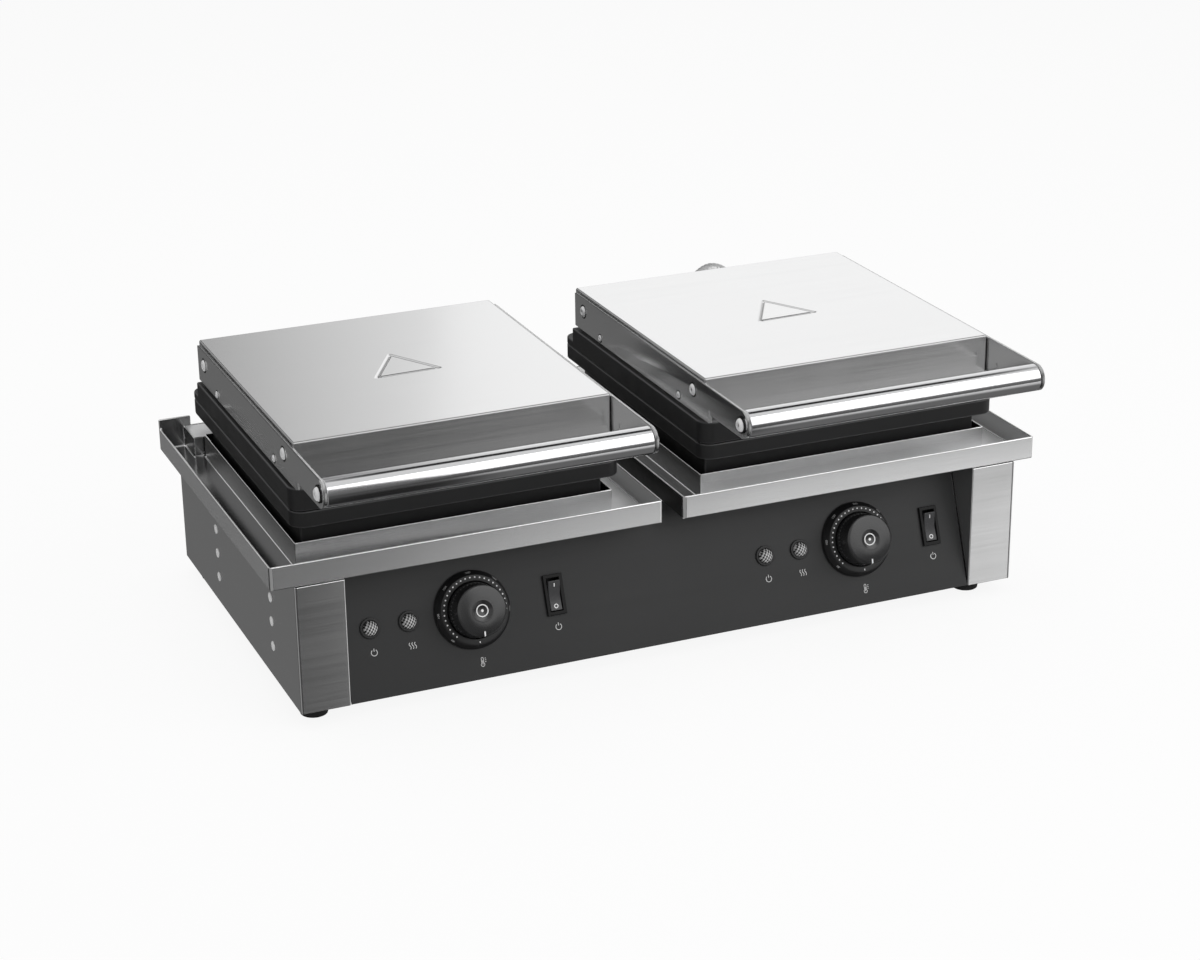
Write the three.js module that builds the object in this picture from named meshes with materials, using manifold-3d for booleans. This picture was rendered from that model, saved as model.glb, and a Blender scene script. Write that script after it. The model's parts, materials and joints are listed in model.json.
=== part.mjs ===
// Double waffle maker: two hinged lids with cast waffle plates over one cabinet
// with a sloped control panel. Millimetres, +Z up, the front faces -Y, and the
// origin lies under the middle of the whole object.
import * as THREE from 'three';
import { mergeVertices } from 'three/addons/utils/BufferGeometryUtils.js';
import Module from 'manifold-3d';

const wasm = await Module();
wasm.setup();

// Stock and clearances
const sheet = 1;
const panelSheet = 1.2;
const fit = 0.3;
const overrun = 2;
const weldStep = 0.001;
const roundSides = 18;
const smallSides = 10;
const dialSides = 32;
const lampSides = 12;
const cornerSegments = 3;

// Cabinet
const cabinetDepth = 292;
const cabinetHeight = 90.9;
const footHeight = 10.8;
const footRadius = 10.5;
const footTaper = 1.2;
const footInsetLeft = 15;
const footInsetRight = 24;
const footInsetY = 22;
const postWidth = 34.5;
const flange = 26;
const panelTilt = THREE.MathUtils.degToRad(20.6);
const deckWindow = 50;
const slotLength = 34;
const slotWidth = 4;
const slotPitch = 12;
const slotCount = 6;
const slotBankX = 150;
const slotBankHeight = 26;

// Cable inlet in the back
const glandInset = 89.25;
const glandHeight = 32;
const glandHeadRadius = 13;
const glandHeadSides = 6;
const glandHeadLength = 9;
const glandBarrelRadius = 9;
const glandBarrelLength = 14;
const glandBoreRadius = 5;
const glandNeckLength = 6;
const glandNeckRadius = 10;

// Drip trays
const trayWidth = 277.55;
const trayGap = 14.9;
const trayOverhang = 15.75;
const trayFrontInset = 0.6;
const trayBackInset = 9.1;
const trayLipHeight = 16.4;
const trayLipThickness = 1.6;
const trayBackRise = 7.2;
const trayNotchInset = 1;
const collarSideInset = 3;
const collarFrontInset = 9.6;
const collarBackInset = 17.5;
const collarHeight = 18.6;
const shelfSideReach = 4.3;
const shelfDepth = 26.5;
const shelfHeight = 16;

// Cast plates
const plateHalf = 116;
const plateFrontInset = 19;
const plateBackInset = 22.5;
const plateCorner = 10;
const neckInset = 9;
const neckFrontInset = 15;
const neckBackInset = 19.5;
const partingHeight = 43.6;
const lowerRim = 11.3;
const lowerSlab = 21.3;
const skirtWall = 5;
const upperThickness = 15.9;
const upperLedgeDepth = 18.5;
const upperLedgeHeight = 5.5;
const mouldDepth = 10;
const mouldSideRim = 10;
const mouldGap = 8;
const mouldFrontRim = 40;
const mouldBackRim = 44.5;
const studColumns = 4;
const studRows = 6;
const studMarginX = 5.5;
const studMarginY = 6.75;
const studBase = 17.5;
const studTop = 12;
const studHeight = 7;
const studRoot = 1;

// Hinge
const hingeBehindPlate = 9;
const lugRadius = 8;
const lugWidth = 12;
const lugSideInset = 58;
const pinRadius = 4;
const pinHeadRadius = 6;
const pinHeadLength = 3;

// Lid cover and its side arms
const coverSideInset = 4.65;
const coverFrontInset = 6.7;
const coverBackInset = 14.9;
const coverHeight = 29.7;
const armThickness = 2.5;
const armDrop = 2;
const armRearHeight = 25.5;
const armBackInset = 5.6;
const armStepReach = 6.2;
const armSlitWidth = 2.3;
const armSlitRise = 3;

// Handle
const handleRadius = 9.5;
const handleReach = 57;
const screwShankRadius = 3;
const screwShankLength = 14;
const screwHeadRadius = 6;
const screwHeadHeight = 3.2;

// Heating elements
const elementRadius = 3.25;
const elementSides = 6;
const elementSteps = 38;
const elementBend = 20;
const elementSideInset = 36;
const elementFrontInset = 39;
const elementRearInset = 61.5;
const elementLeadX = 24;
const elementEndInset = 35.5;

// Wiring conduit between the tray shelf and the lid
const conduitRadius = 5.5;
const conduitSides = 8;
const conduitSteps = 28;
const conduitLidX = -4.8;
const conduitShelfX = 27.3;
const conduitCrowns = { left: 76, right: 82 };
const conduitEntry = 67.5;
const conduitRunShare = 0.72;
const conduitRiseShare = 0.4;
const conduitShoulderShare = 0.72;
const conduitNearShare = 0.6;
const conduitFarShare = 0.69;

// Controls on the sloped panel: the row is measured up the slope, and the shares of a
// tray's width from each unit's middle
const controlRow = 48.2;
const lampShares = [-0.2453, -0.1477];
const knobShare = 0.01513;
const switchShare = 0.2306;
const lampBezelRadius = 7.1;
const lampBezelHeight = 1.4;
const lampBarrelRadius = 6;
const lampBarrelLength = 22;
const lensRadius = 5;
const lensPlug = 3;
const lensHeight = 4.6;
const dialRadius = 26.8;
const dialEdge = 2.2;
const dialSlopeReach = 2.9;
const dialHeight = 7.5;
const knobRadius = 19;
const knobFaceRadius = 17.5;
const knobHeight = 23.6;
const knobChamfer = 1.2;
const knobStart = 4;
const knobRecessRadius = 6.8;
const knobRecess = 1.6;
const knobWall = 6;
const domeRings = 4;
const shaftRadius = 3;
const shaftDepth = 12;
const thermostatWidth = 38;
const thermostatHeight = 34;
const thermostatDepth = 26;
const switchWidth = 14;
const switchLength = 28.2;
const switchFrame = 2;
const switchBodyWidth = 12;
const switchBodyLength = 25.2;
const switchBodyDepth = 22;
const rockerWidth = 8.6;
const rockerHalf = 10.6;
const rockerSink = 1.5;
const rockerDip = 2.4;
const rockerHorn = 4.5;
const rockerKeelHalf = 6;
const rockerKeel = 4;
const rockerCheek = 1;
const rockerTilt = THREE.MathUtils.degToRad(8);

// Places worked out from the sizes above
const unitPitch = trayWidth + trayGap;
const halfCabinet = (unitPitch + trayWidth) / 2 - trayOverhang;
const cabinetFront = -cabinetDepth / 2;
const cabinetBack = cabinetDepth / 2;
const cabinetBottom = footHeight;
const cabinetTop = cabinetBottom + cabinetHeight;
const glandX = halfCabinet - glandInset;
const lampPlaces = lampShares.map((share) => trayWidth * share);
const knobX = trayWidth * knobShare;
const switchX = trayWidth * switchShare;
const innerHalf = halfCabinet - sheet - fit;
const deckBottom = cabinetTop - sheet;
const floorPlateBottom = cabinetBottom + sheet + fit;
const panelRun = cabinetHeight * Math.tan(panelTilt);
const panelLength = cabinetHeight / Math.cos(panelTilt);
const panelSetback = panelSheet / Math.cos(panelTilt) + fit;
const deckFront = cabinetFront + panelRun + panelSetback;
const floorPlateRise = floorPlateBottom + sheet - cabinetBottom;
const floorPlateFront = cabinetFront + floorPlateRise * Math.tan(panelTilt) + panelSetback;
const trayFront = cabinetFront + trayFrontInset;
const trayBack = cabinetBack - trayBackInset;
const trayFloor = cabinetTop + fit;
const trayFloorTop = trayFloor + sheet;
const trayLipTop = trayFloor + trayLipHeight;
const shelfTop = trayFloor + shelfHeight;
const shelfFront = trayBack - trayLipThickness - shelfDepth;
const plateFront = cabinetFront + plateFrontInset;
const plateBack = cabinetBack - plateBackInset;
const trayNotchHalf = plateHalf - trayNotchInset;
const collarHalf = plateHalf - collarSideInset;
const shelfHalf = plateHalf + shelfSideReach;
const mouldWidth = plateHalf - mouldSideRim - mouldGap / 2;
const mouldCentre = (mouldGap + mouldWidth) / 2;
const elementHalfX = plateHalf - elementSideInset;
const lugInnerX = plateHalf - lugSideInset;
const collarFront = plateFront + collarFrontInset;
const collarBack = plateBack - collarBackInset;
const lowerTop = cabinetTop + partingHeight;
const lowerRimBottom = lowerTop - lowerRim;
const lowerSlabBottom = lowerTop - lowerSlab;
const upperBottom = lowerTop + fit;
const upperTop = upperBottom + upperThickness;
const neckHalf = plateHalf - neckInset;
const neckFront = plateFront + neckFrontInset;
const neckBack = plateBack - neckBackInset;
const neckMiddle = (neckFront + neckBack) / 2;
const mouldFront = plateFront + mouldFrontRim;
const mouldBack = plateBack - mouldBackRim;
const mouldMiddleY = (mouldFront + mouldBack) / 2;
const studPitchX = (mouldWidth - studMarginX - studMarginX - studBase) / (studColumns - 1);
const studPitchY = (mouldBack - mouldFront - studMarginY - studMarginY - studBase) / (studRows - 1);
const elementFrontY = plateFront + elementFrontInset;
const elementRearY = plateBack - elementRearInset;
const elementEndY = plateBack - elementEndInset;
const hingeY = plateBack + hingeBehindPlate;
const conduitY = plateBack + fit + conduitRadius;
const hingeZ = lowerTop + fit / 2;
const outerLugX = lugInnerX + lugWidth + fit;
const coverHalf = plateHalf - coverSideInset;
const coverFront = plateFront + coverFrontInset;
const coverBack = plateBack - coverBackInset;
const coverBottom = upperTop + fit;
const coverTop = coverBottom + coverHeight;
const armInner = coverHalf + fit;
const armOuter = armInner + armThickness;
const armTop = coverTop - armDrop;
const armBack = coverBack - armBackInset;
const armStepY = plateFront - armStepReach;
const handleY = plateFront - handleReach;
const handleZ = armTop - handleRadius;
const armNose = handleY - handleRadius;
const partFront = armNose;
const partBack = cabinetBack + glandHeadLength + glandNeckLength + fit;

// Finishes
const brushed = { color: 0xc9cacb, roughness: 0.32, metalness: 0.9 };
const polished = { color: 0xd9dadb, roughness: 0.15, metalness: 1 };
const castIron = { color: 0x1d1d1e, roughness: 0.6, metalness: 0.4 };
const darkPanel = { color: 0x2e2f31, roughness: 0.55, metalness: 0.2 };
const blackPlastic = { color: 0x141415, roughness: 0.4, metalness: 0 };
const blackRubber = { color: 0x121212, roughness: 0.8, metalness: 0 };
const greyLens = { color: 0x8f9193, roughness: 0.2, metalness: 0 };
const zinc = { color: 0x9a9c9e, roughness: 0.45, metalness: 0.8 };

// Solids: a closed geometry, with its corners on a fine grid so that flush faces meet
// exactly, becomes a solid that can be joined and cut
function solidOf(geometry) {
  const bare = geometry.clone();
  bare.deleteAttribute('normal');
  bare.deleteAttribute('uv');
  const places = bare.attributes.position.array;
  for (let i = 0; i < places.length; i += 1) places[i] = Math.round(places[i] / weldStep) * weldStep;
  const merged = mergeVertices(bare, weldStep / 2);
  const corners = merged.index.array;
  const kept = [];
  for (let i = 0; i < corners.length; i += 3) {
    const [a, b, c] = [corners[i], corners[i + 1], corners[i + 2]];
    if (a !== b && b !== c && c !== a) kept.push(a, b, c);
  }
  const vertProperties = new Float32Array(merged.attributes.position.array);
  const triVerts = new Uint32Array(kept);
  return new wasm.Manifold(new wasm.Mesh({ numProp: 3, vertProperties, triVerts }));
}

function geometryOf(solid) {
  const mesh = solid.getMesh();
  const geometry = new THREE.BufferGeometry();
  geometry.setAttribute('position', new THREE.BufferAttribute(new Float32Array(mesh.vertProperties), 3));
  geometry.setIndex(new THREE.BufferAttribute(new Uint32Array(mesh.triVerts), 1));
  geometry.computeVertexNormals();
  return geometry;
}

function block(x0, x1, y0, y1, z0, z1) {
  const box = new THREE.BoxGeometry(Math.abs(x1 - x0), Math.abs(y1 - y0), Math.abs(z1 - z0));
  box.translate((x0 + x1) / 2, (y0 + y1) / 2, (z0 + z1) / 2);
  return solidOf(box);
}

// A round bar along X, from x0 to x1
function barX(radius, x0, x1, y, z, sides = roundSides) {
  const bar = new THREE.CylinderGeometry(radius, radius, Math.abs(x1 - x0), sides);
  bar.rotateZ(Math.PI / 2);
  bar.translate((x0 + x1) / 2, y, z);
  return solidOf(bar);
}

// A round bar along Y, from y0 to y1
function barY(radius, y0, y1, x, z, sides = roundSides) {
  const bar = new THREE.CylinderGeometry(radius, radius, Math.abs(y1 - y0), sides);
  bar.translate(x, (y0 + y1) / 2, z);
  return solidOf(bar);
}

// A turned piece about an axis that points out of the panel (towards -Y); profile
// points are [radius, distance out], from the back of the axis round to its front
function turned(profile, x, z, sides = roundSides) {
  const points = profile.map(([radius, out]) => new THREE.Vector2(radius, -out));
  const lathe = new THREE.LatheGeometry(points.reverse(), sides);
  lathe.translate(x, 0, z);
  return solidOf(lathe);
}

// An outline in the Y-Z plane, run along X from x0 to x1
function alongX(outline, x0, x1, curveSegments = smallSides / 2) {
  const run = new THREE.ExtrudeGeometry(outline, { depth: x1 - x0, bevelEnabled: false, curveSegments });
  run.applyMatrix4(new THREE.Matrix4().set(0, 0, 1, x0, 1, 0, 0, 0, 0, 1, 0, 0, 0, 0, 0, 1));
  return solidOf(run);
}

// A flat plate with rounded corners, from z0 to z1
function roundedPlate(half, y0, y1, corner, z0, z1) {
  const outline = new THREE.Shape();
  outline.moveTo(-half + corner, y0);
  outline.absarc(half - corner, y0 + corner, corner, -Math.PI / 2, 0, false);
  outline.absarc(half - corner, y1 - corner, corner, 0, Math.PI / 2, false);
  outline.absarc(-half + corner, y1 - corner, corner, Math.PI / 2, Math.PI, false);
  outline.absarc(-half + corner, y0 + corner, corner, Math.PI, Math.PI * 1.5, false);
  const options = { depth: z1 - z0, bevelEnabled: false, curveSegments: cornerSegments };
  const plate = new THREE.ExtrudeGeometry(outline, options);
  plate.translate(0, 0, z0);
  return solidOf(plate);
}

// Straight runs between the given points, with each corner rounded off
function roundedPath(points, bend) {
  const path = new THREE.CurvePath();
  let from = points[0];
  for (let i = 1; i < points.length - 1; i += 1) {
    const corner = points[i];
    const entry = corner.clone().add(points[i - 1].clone().sub(corner).setLength(bend));
    const exit = corner.clone().add(points[i + 1].clone().sub(corner).setLength(bend));
    path.add(new THREE.LineCurve3(from, entry));
    path.add(new THREE.QuadraticBezierCurve3(entry, corner, exit));
    from = exit;
  }
  path.add(new THREE.LineCurve3(from, points[points.length - 1]));
  return path;
}

// A round tube that follows a curve
function tubeAlong(curve, radius, sides, steps) {
  const section = new THREE.Shape();
  section.absarc(0, 0, radius, 0, Math.PI * 2, false);
  const options = { steps, extrudePath: curve, bevelEnabled: false, curveSegments: sides / 2 };
  return solidOf(new THREE.ExtrudeGeometry(section, options));
}

function piece(name, solid, finish) {
  const mesh = new THREE.Mesh(geometryOf(solid), new THREE.MeshStandardMaterial(finish));
  mesh.name = name;
  return mesh;
}

// Cabinet side: wall, front post with its return beside the sloped panel, and
// folded edges that the deck and the floor plate rest on
function sidePanel(side) {
  const outer = side * halfCabinet;
  const inner = side * (halfCabinet - sheet);
  const postEdge = side * (halfCabinet - postWidth);
  const foldEdge = side * (halfCabinet - flange);
  const returnEdge = side * (halfCabinet - postWidth + sheet);
  const wall = block(outer, inner, cabinetFront, cabinetBack, cabinetBottom, cabinetTop);
  const post = block(outer, postEdge, cabinetFront, cabinetFront + sheet, cabinetBottom, cabinetTop);
  const outline = new THREE.Shape();
  outline.moveTo(cabinetFront, cabinetBottom);
  outline.lineTo(cabinetFront + sheet, cabinetBottom);
  outline.lineTo(cabinetFront + panelRun + panelSetback, cabinetTop);
  outline.lineTo(cabinetFront, cabinetTop);
  const postReturn = alongX(outline, Math.min(postEdge, returnEdge), Math.max(postEdge, returnEdge));
  const lowerFold = block(outer, foldEdge, floorPlateFront, cabinetBack - sheet - fit,
    cabinetBottom, cabinetBottom + sheet);
  const foldTop = deckBottom - fit;
  const upperFold = block(outer, foldEdge, deckFront, cabinetBack - sheet - fit,
    foldTop - sheet, foldTop);
  return wall.add(post).add(postReturn).add(lowerFold).add(upperFold);
}

function floorPlate() {
  let plate = block(-innerHalf, innerHalf, floorPlateFront, cabinetBack - sheet - fit,
    floorPlateBottom, floorPlateBottom + sheet);
  for (const side of [-1, 1]) {
    for (let i = 0; i < slotCount; i += 1) {
      const y = (i - (slotCount - 1) / 2) * slotPitch;
      const x = side * slotBankX;
      plate = plate.subtract(block(x - slotLength / 2, x + slotLength / 2,
        y - slotWidth / 2, y + slotWidth / 2,
        floorPlateBottom - overrun, floorPlateBottom + sheet + overrun));
    }
  }
  return plate;
}

function deckPlate() {
  let deck = block(-innerHalf, innerHalf, deckFront, cabinetBack - sheet - fit, deckBottom, cabinetTop);
  for (const side of [-1, 1]) {
    const x = side * unitPitch / 2;
    deck = deck.subtract(block(x - deckWindow / 2, x + deckWindow / 2, neckMiddle - deckWindow / 2,
      neckMiddle + deckWindow / 2, deckBottom - overrun, cabinetTop + overrun));
  }
  return deck;
}

function backPanel() {
  let back = block(-innerHalf, innerHalf, cabinetBack - sheet, cabinetBack, cabinetBottom, cabinetTop);
  const low = cabinetBottom + slotBankHeight;
  for (const side of [-1, 1]) {
    for (let i = 0; i < slotCount; i += 1) {
      const x = side * slotBankX / 2 + (i - (slotCount - 1) / 2) * slotPitch;
      back = back.subtract(block(x - slotWidth / 2, x + slotWidth / 2, cabinetBack - sheet - overrun,
        cabinetBack + overrun, low, low + slotLength));
    }
  }
  return back.subtract(barY(glandBarrelRadius + fit, cabinetBack - sheet - overrun, cabinetBack + overrun,
    glandX, cabinetBottom + glandHeight));
}

// Cable inlet: collar and neck outside the back panel, barrel through it
function cableGland() {
  const z = cabinetBottom + glandHeight;
  const start = cabinetBack + fit;
  const collarEnd = start + glandHeadLength;
  const neckEnd = collarEnd + glandNeckLength;
  const barrelStart = cabinetBack - glandBarrelLength;
  return barY(glandHeadRadius, start, collarEnd, glandX, z, glandHeadSides)
    .add(barY(glandNeckRadius, collarEnd - sheet, neckEnd, glandX, z))
    .add(barY(glandBarrelRadius, barrelStart, start + sheet, glandX, z))
    .subtract(barY(glandBoreRadius, barrelStart - overrun, neckEnd + overrun, glandX, z));
}

function foot(sideX, sideY) {
  const height = footHeight - fit;
  const inset = sideX < 0 ? footInsetLeft : footInsetRight;
  const rubber = new THREE.CylinderGeometry(footRadius, footRadius - footTaper, height, roundSides);
  rubber.rotateX(Math.PI / 2);
  rubber.translate(sideX * (halfCabinet - inset), sideY * (cabinetBack - footInsetY), height / 2);
  return solidOf(rubber);
}

// Sloped panel in its own frame: X across, Z up the slope, -Y out of its face
function controlPanel() {
  const half = halfCabinet - postWidth - fit;
  const low = panelSheet * Math.tan(panelTilt);
  const high = panelLength - fit;
  let panel = block(-half, half, 0, panelSheet, low, high);
  for (const side of [-1, 1]) {
    const unitX = side * unitPitch / 2;
    const through = panelSheet + overrun;
    for (const place of lampPlaces) {
      panel = panel.subtract(barY(lampBarrelRadius + fit, -overrun, through, unitX + place, controlRow,
        lampSides));
    }
    panel = panel.subtract(barY(shaftRadius + fit, -overrun, through, unitX + knobX, controlRow));
    const cutHalf = switchBodyWidth / 2 + fit;
    const cutReach = switchBodyLength / 2 + fit;
    panel = panel.subtract(block(unitX + switchX - cutHalf, unitX + switchX + cutHalf, -overrun,
      through, controlRow - cutReach, controlRow + cutReach));
  }
  return panel;
}

function lampBody(x) {
  const boreRadius = lensRadius + fit;
  const barrelEnd = -lampBarrelLength;
  const seat = lampBezelHeight - lensPlug;
  return turned([
    [0, barrelEnd],
    [lampBarrelRadius, barrelEnd],
    [lampBarrelRadius, fit],
    [lampBezelRadius, fit],
    [lampBezelRadius, lampBezelHeight - fit],
    [lampBezelRadius - fit, lampBezelHeight],
    [boreRadius, lampBezelHeight],
    [boreRadius, seat],
    [0, seat],
  ], x, controlRow, lampSides);
}

function lampLens(x) {
  const seat = lampBezelHeight - lensPlug + fit;
  const profile = [[0, seat], [lensRadius, seat]];
  for (let i = 0; i <= domeRings; i += 1) {
    const angle = (i / domeRings) * Math.PI / 2;
    profile.push([lensRadius * Math.cos(angle), lampBezelHeight + lensHeight * Math.sin(angle)]);
  }
  profile[profile.length - 1][0] = 0;
  return turned(profile, x, controlRow, lampSides);
}

function dialRing(x) {
  const bore = knobRadius + fit + fit;
  const shoulder = dialRadius - dialSlopeReach;
  return turned([
    [bore, fit],
    [dialRadius, fit],
    [dialRadius, dialEdge],
    [shoulder, dialHeight - fit],
    [shoulder - fit, dialHeight],
    [bore, dialHeight],
    [bore, fit],
  ], x, controlRow, dialSides);
}

function knob(x) {
  const bore = shaftRadius + fit;
  const boreEnd = knobHeight - knobWall;
  return turned([
    [0, boreEnd],
    [bore, boreEnd],
    [bore, knobStart],
    [knobRadius, knobStart],
    [knobRadius, dialHeight],
    [knobFaceRadius, knobHeight - knobChamfer],
    [knobFaceRadius - knobChamfer, knobHeight],
    [knobRecessRadius, knobHeight],
    [knobRecessRadius, knobHeight - knobRecess],
    [0, knobHeight - knobRecess],
  ], x, controlRow, dialSides);
}

function thermostatShaft(x) {
  const front = knobHeight - knobWall - fit;
  const back = -panelSheet - fit - shaftDepth + fit;
  return barY(shaftRadius, -front, -back, x, controlRow, smallSides);
}

function thermostat(x) {
  const face = panelSheet + fit;
  const body = block(x - thermostatWidth / 2, x + thermostatWidth / 2, face, face + thermostatDepth,
    controlRow - thermostatHeight / 2, controlRow + thermostatHeight / 2);
  const shaftHole = barY(shaftRadius + fit, face - overrun, face + shaftDepth, x, controlRow, smallSides);
  return body.subtract(shaftHole);
}

function switchHousing(x) {
  const cavityHalf = rockerWidth / 2 + fit;
  const cavityReach = rockerHalf * Math.cos(rockerTilt) + rockerHorn * Math.sin(rockerTilt) + fit;
  const cavityDepth = rockerSink + rockerKeel + rockerHalf * Math.sin(rockerTilt) + fit;
  const frame = block(x - switchWidth / 2, x + switchWidth / 2, -switchFrame, -fit,
    controlRow - switchLength / 2, controlRow + switchLength / 2);
  const body = block(x - switchBodyWidth / 2, x + switchBodyWidth / 2, -switchFrame / 2, switchBodyDepth,
    controlRow - switchBodyLength / 2, controlRow + switchBodyLength / 2);
  const cavity = block(x - cavityHalf, x + cavityHalf, -switchFrame - overrun, cavityDepth,
    controlRow - cavityReach, controlRow + cavityReach);
  return frame.add(body).subtract(cavity);
}

// Rocker about its own pivot at the origin: a shallow V on top and a keel below
function rocker() {
  const outline = new THREE.Shape();
  outline.moveTo(-rockerHorn, -rockerHalf);
  outline.lineTo(rockerCheek, -rockerHalf + rockerCheek);
  outline.lineTo(rockerKeel, -rockerKeelHalf);
  outline.lineTo(rockerKeel, rockerKeelHalf);
  outline.lineTo(rockerCheek, rockerHalf - rockerCheek);
  outline.lineTo(-rockerHorn, rockerHalf);
  outline.lineTo(-rockerDip, 0);
  return alongX(outline, -rockerWidth / 2, rockerWidth / 2);
}

// Drip tray: pan, higher back wall with a notch, collar round the lower plate and
// a rear shelf below the hinge
function dripTray() {
  const half = trayWidth / 2;
  const inner = half - trayLipThickness;
  const backInner = trayBack - trayLipThickness;
  const collarTop = trayFloor + collarHeight;
  const collarInner = collarHalf - sheet;
  const raised = trayLipTop + trayBackRise;
  const well = block(-inner, inner, trayFront + trayLipThickness, backInner,
    trayFloorTop, trayLipTop + overrun);
  const pan = block(-half, half, trayFront, trayBack, trayFloor, trayLipTop).subtract(well);
  const backRaise = block(-half, half, backInner, trayBack, trayFloor, raised);
  const notch = block(-trayNotchHalf, trayNotchHalf, backInner - overrun, trayBack + overrun,
    trayLipTop, raised + overrun);
  const collar = block(-collarHalf, collarHalf, collarFront, collarBack, trayFloor, collarTop);
  const opening = block(-collarInner, collarInner, collarFront + sheet, collarBack - sheet,
    trayFloor - overrun, collarTop + overrun);
  const shelf = block(-shelfHalf, shelfHalf, shelfFront, backInner + sheet, trayFloor, shelfTop);
  const underShelf = block(-shelfHalf + sheet, shelfHalf - sheet, shelfFront + sheet, backInner,
    trayFloor - overrun, shelfTop - sheet);
  const conduitHole = new THREE.CylinderGeometry(conduitRadius - sheet, conduitRadius - sheet,
    shelfHeight, smallSides);
  conduitHole.rotateX(Math.PI / 2);
  conduitHole.translate(conduitShelfX, conduitY, shelfTop);
  return pan.add(backRaise).subtract(notch).add(collar).subtract(opening).add(shelf).subtract(underShelf)
    .subtract(solidOf(conduitHole));
}

// One waffle stud: a square frustum that stands up from z, or hangs down from it
function stud(x, y, z, up) {
  const slope = (studBase - studTop) / studHeight;
  const rootSide = studBase + slope * studRoot;
  const length = studHeight + studRoot;
  const cone = new THREE.CylinderGeometry(studTop / Math.SQRT2, rootSide / Math.SQRT2, length, 4);
  cone.rotateY(Math.PI / 4);
  cone.rotateX(up * Math.PI / 2);
  cone.translate(x, y, z + up * (length / 2 - studRoot));
  return solidOf(cone);
}

// Waffle moulds cut into a plate whose cooking face lies at z; up is the side the
// plate opens to: 1 for the lower plate and -1 for the upper one
function withMoulds(plate, z, up) {
  let moulded = plate;
  const floor = z - up * mouldDepth;
  for (const side of [-1, 1]) {
    const centre = side * mouldCentre;
    moulded = moulded.subtract(block(centre - mouldWidth / 2, centre + mouldWidth / 2,
      mouldFront, mouldBack, floor, z + up * overrun));
    for (let column = 0; column < studColumns; column += 1) {
      for (let row = 0; row < studRows; row += 1) {
        const x = centre + (column - (studColumns - 1) / 2) * studPitchX;
        const y = mouldMiddleY + (row - (studRows - 1) / 2) * studPitchY;
        moulded = moulded.add(stud(x, y, floor, up));
      }
    }
  }
  return moulded;
}

// Hinge lugs on a plate: a web behind its rear face and a round eye about the pin
function withLugs(plate, innerX, z0, z1) {
  let lugged = plate;
  for (const side of [-1, 1]) {
    const [a, b] = [side * innerX, side * (innerX + lugWidth)];
    lugged = lugged.add(block(a, b, plateBack - plateCorner, hingeY, z0, z1))
      .add(barX(lugRadius, a, b, hingeY, hingeZ))
      .subtract(barX(pinRadius + fit, Math.min(a, b) - overrun, Math.max(a, b) + overrun,
        hingeY, hingeZ));
  }
  return lugged;
}

function lowerPlate() {
  const rim = roundedPlate(plateHalf, plateFront, plateBack, plateCorner, lowerRimBottom, lowerTop);
  const slab = block(-neckHalf, neckHalf, neckFront, neckBack, trayFloor, lowerTop - sheet);
  const hollow = block(-neckHalf + skirtWall, neckHalf - skirtWall, neckFront + skirtWall,
    neckBack - skirtWall, trayFloor - overrun, lowerSlabBottom);
  const body = rim.add(slab).subtract(hollow);
  return withLugs(withMoulds(body, lowerTop, 1), outerLugX, lowerRimBottom, lowerTop);
}

function upperPlate() {
  const body = roundedPlate(plateHalf, plateFront, plateBack, plateCorner, upperBottom, upperTop);
  const ledge = block(-plateHalf - overrun, plateHalf + overrun, plateBack - upperLedgeDepth,
    plateBack + overrun, upperBottom + upperLedgeHeight, upperTop + overrun);
  const cast = body.subtract(ledge);
  const ledgeTop = upperBottom + upperLedgeHeight;
  return withLugs(withMoulds(cast, upperBottom, -1), lugInnerX, upperBottom, ledgeTop);
}

function hingePin(side) {
  const start = side * (lugInnerX - sheet);
  const end = side * (outerLugX + lugWidth + fit);
  return barX(pinRadius, start, end + side * sheet, hingeY, hingeZ)
    .add(barX(pinHeadRadius, end, end + side * pinHeadLength, hingeY, hingeZ));
}

function lidCover() {
  const outer = block(-coverHalf, coverHalf, coverFront, coverBack, coverBottom, coverTop);
  const inner = block(-coverHalf + sheet, coverHalf - sheet, coverFront + sheet, coverBack - sheet,
    coverBottom - overrun, coverTop - sheet);
  const wireHole = barY(conduitRadius - sheet, coverBack - sheet - overrun, coverBack + overrun,
    conduitLidX, cabinetTop + conduitEntry, smallSides);
  return outer.subtract(inner).subtract(wireHole);
}

// Side arm: full height beside the cover, then a slimmer nose that ends round the
// handle, with a narrow relief slit where it steps up
function lidArm(side) {
  const rearBottom = armTop - armRearHeight;
  const noseBottom = armTop - handleRadius - handleRadius;
  const outline = new THREE.Shape();
  outline.moveTo(armBack, rearBottom);
  outline.lineTo(armBack, armTop);
  outline.absarc(handleY, handleZ, handleRadius, Math.PI / 2, Math.PI * 1.5, false);
  outline.lineTo(armStepY - armSlitWidth, noseBottom);
  outline.lineTo(armStepY - armSlitWidth, noseBottom + armSlitRise);
  outline.lineTo(armStepY, noseBottom + armSlitRise);
  outline.lineTo(armStepY, rearBottom);
  const [a, b] = [side * armInner, side * armOuter];
  const plate = alongX(outline, Math.min(a, b), Math.max(a, b));
  return plate.subtract(barX(screwShankRadius + fit, a - side * overrun, b + side * overrun,
    handleY, handleZ));
}

function handleBar() {
  const seat = coverHalf - screwShankLength;
  return barX(handleRadius, -coverHalf, coverHalf, handleY, handleZ, roundSides + smallSides)
    .subtract(barX(screwShankRadius + fit, -coverHalf - overrun, -seat, handleY, handleZ))
    .subtract(barX(screwShankRadius + fit, seat, coverHalf + overrun, handleY, handleZ));
}

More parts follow.
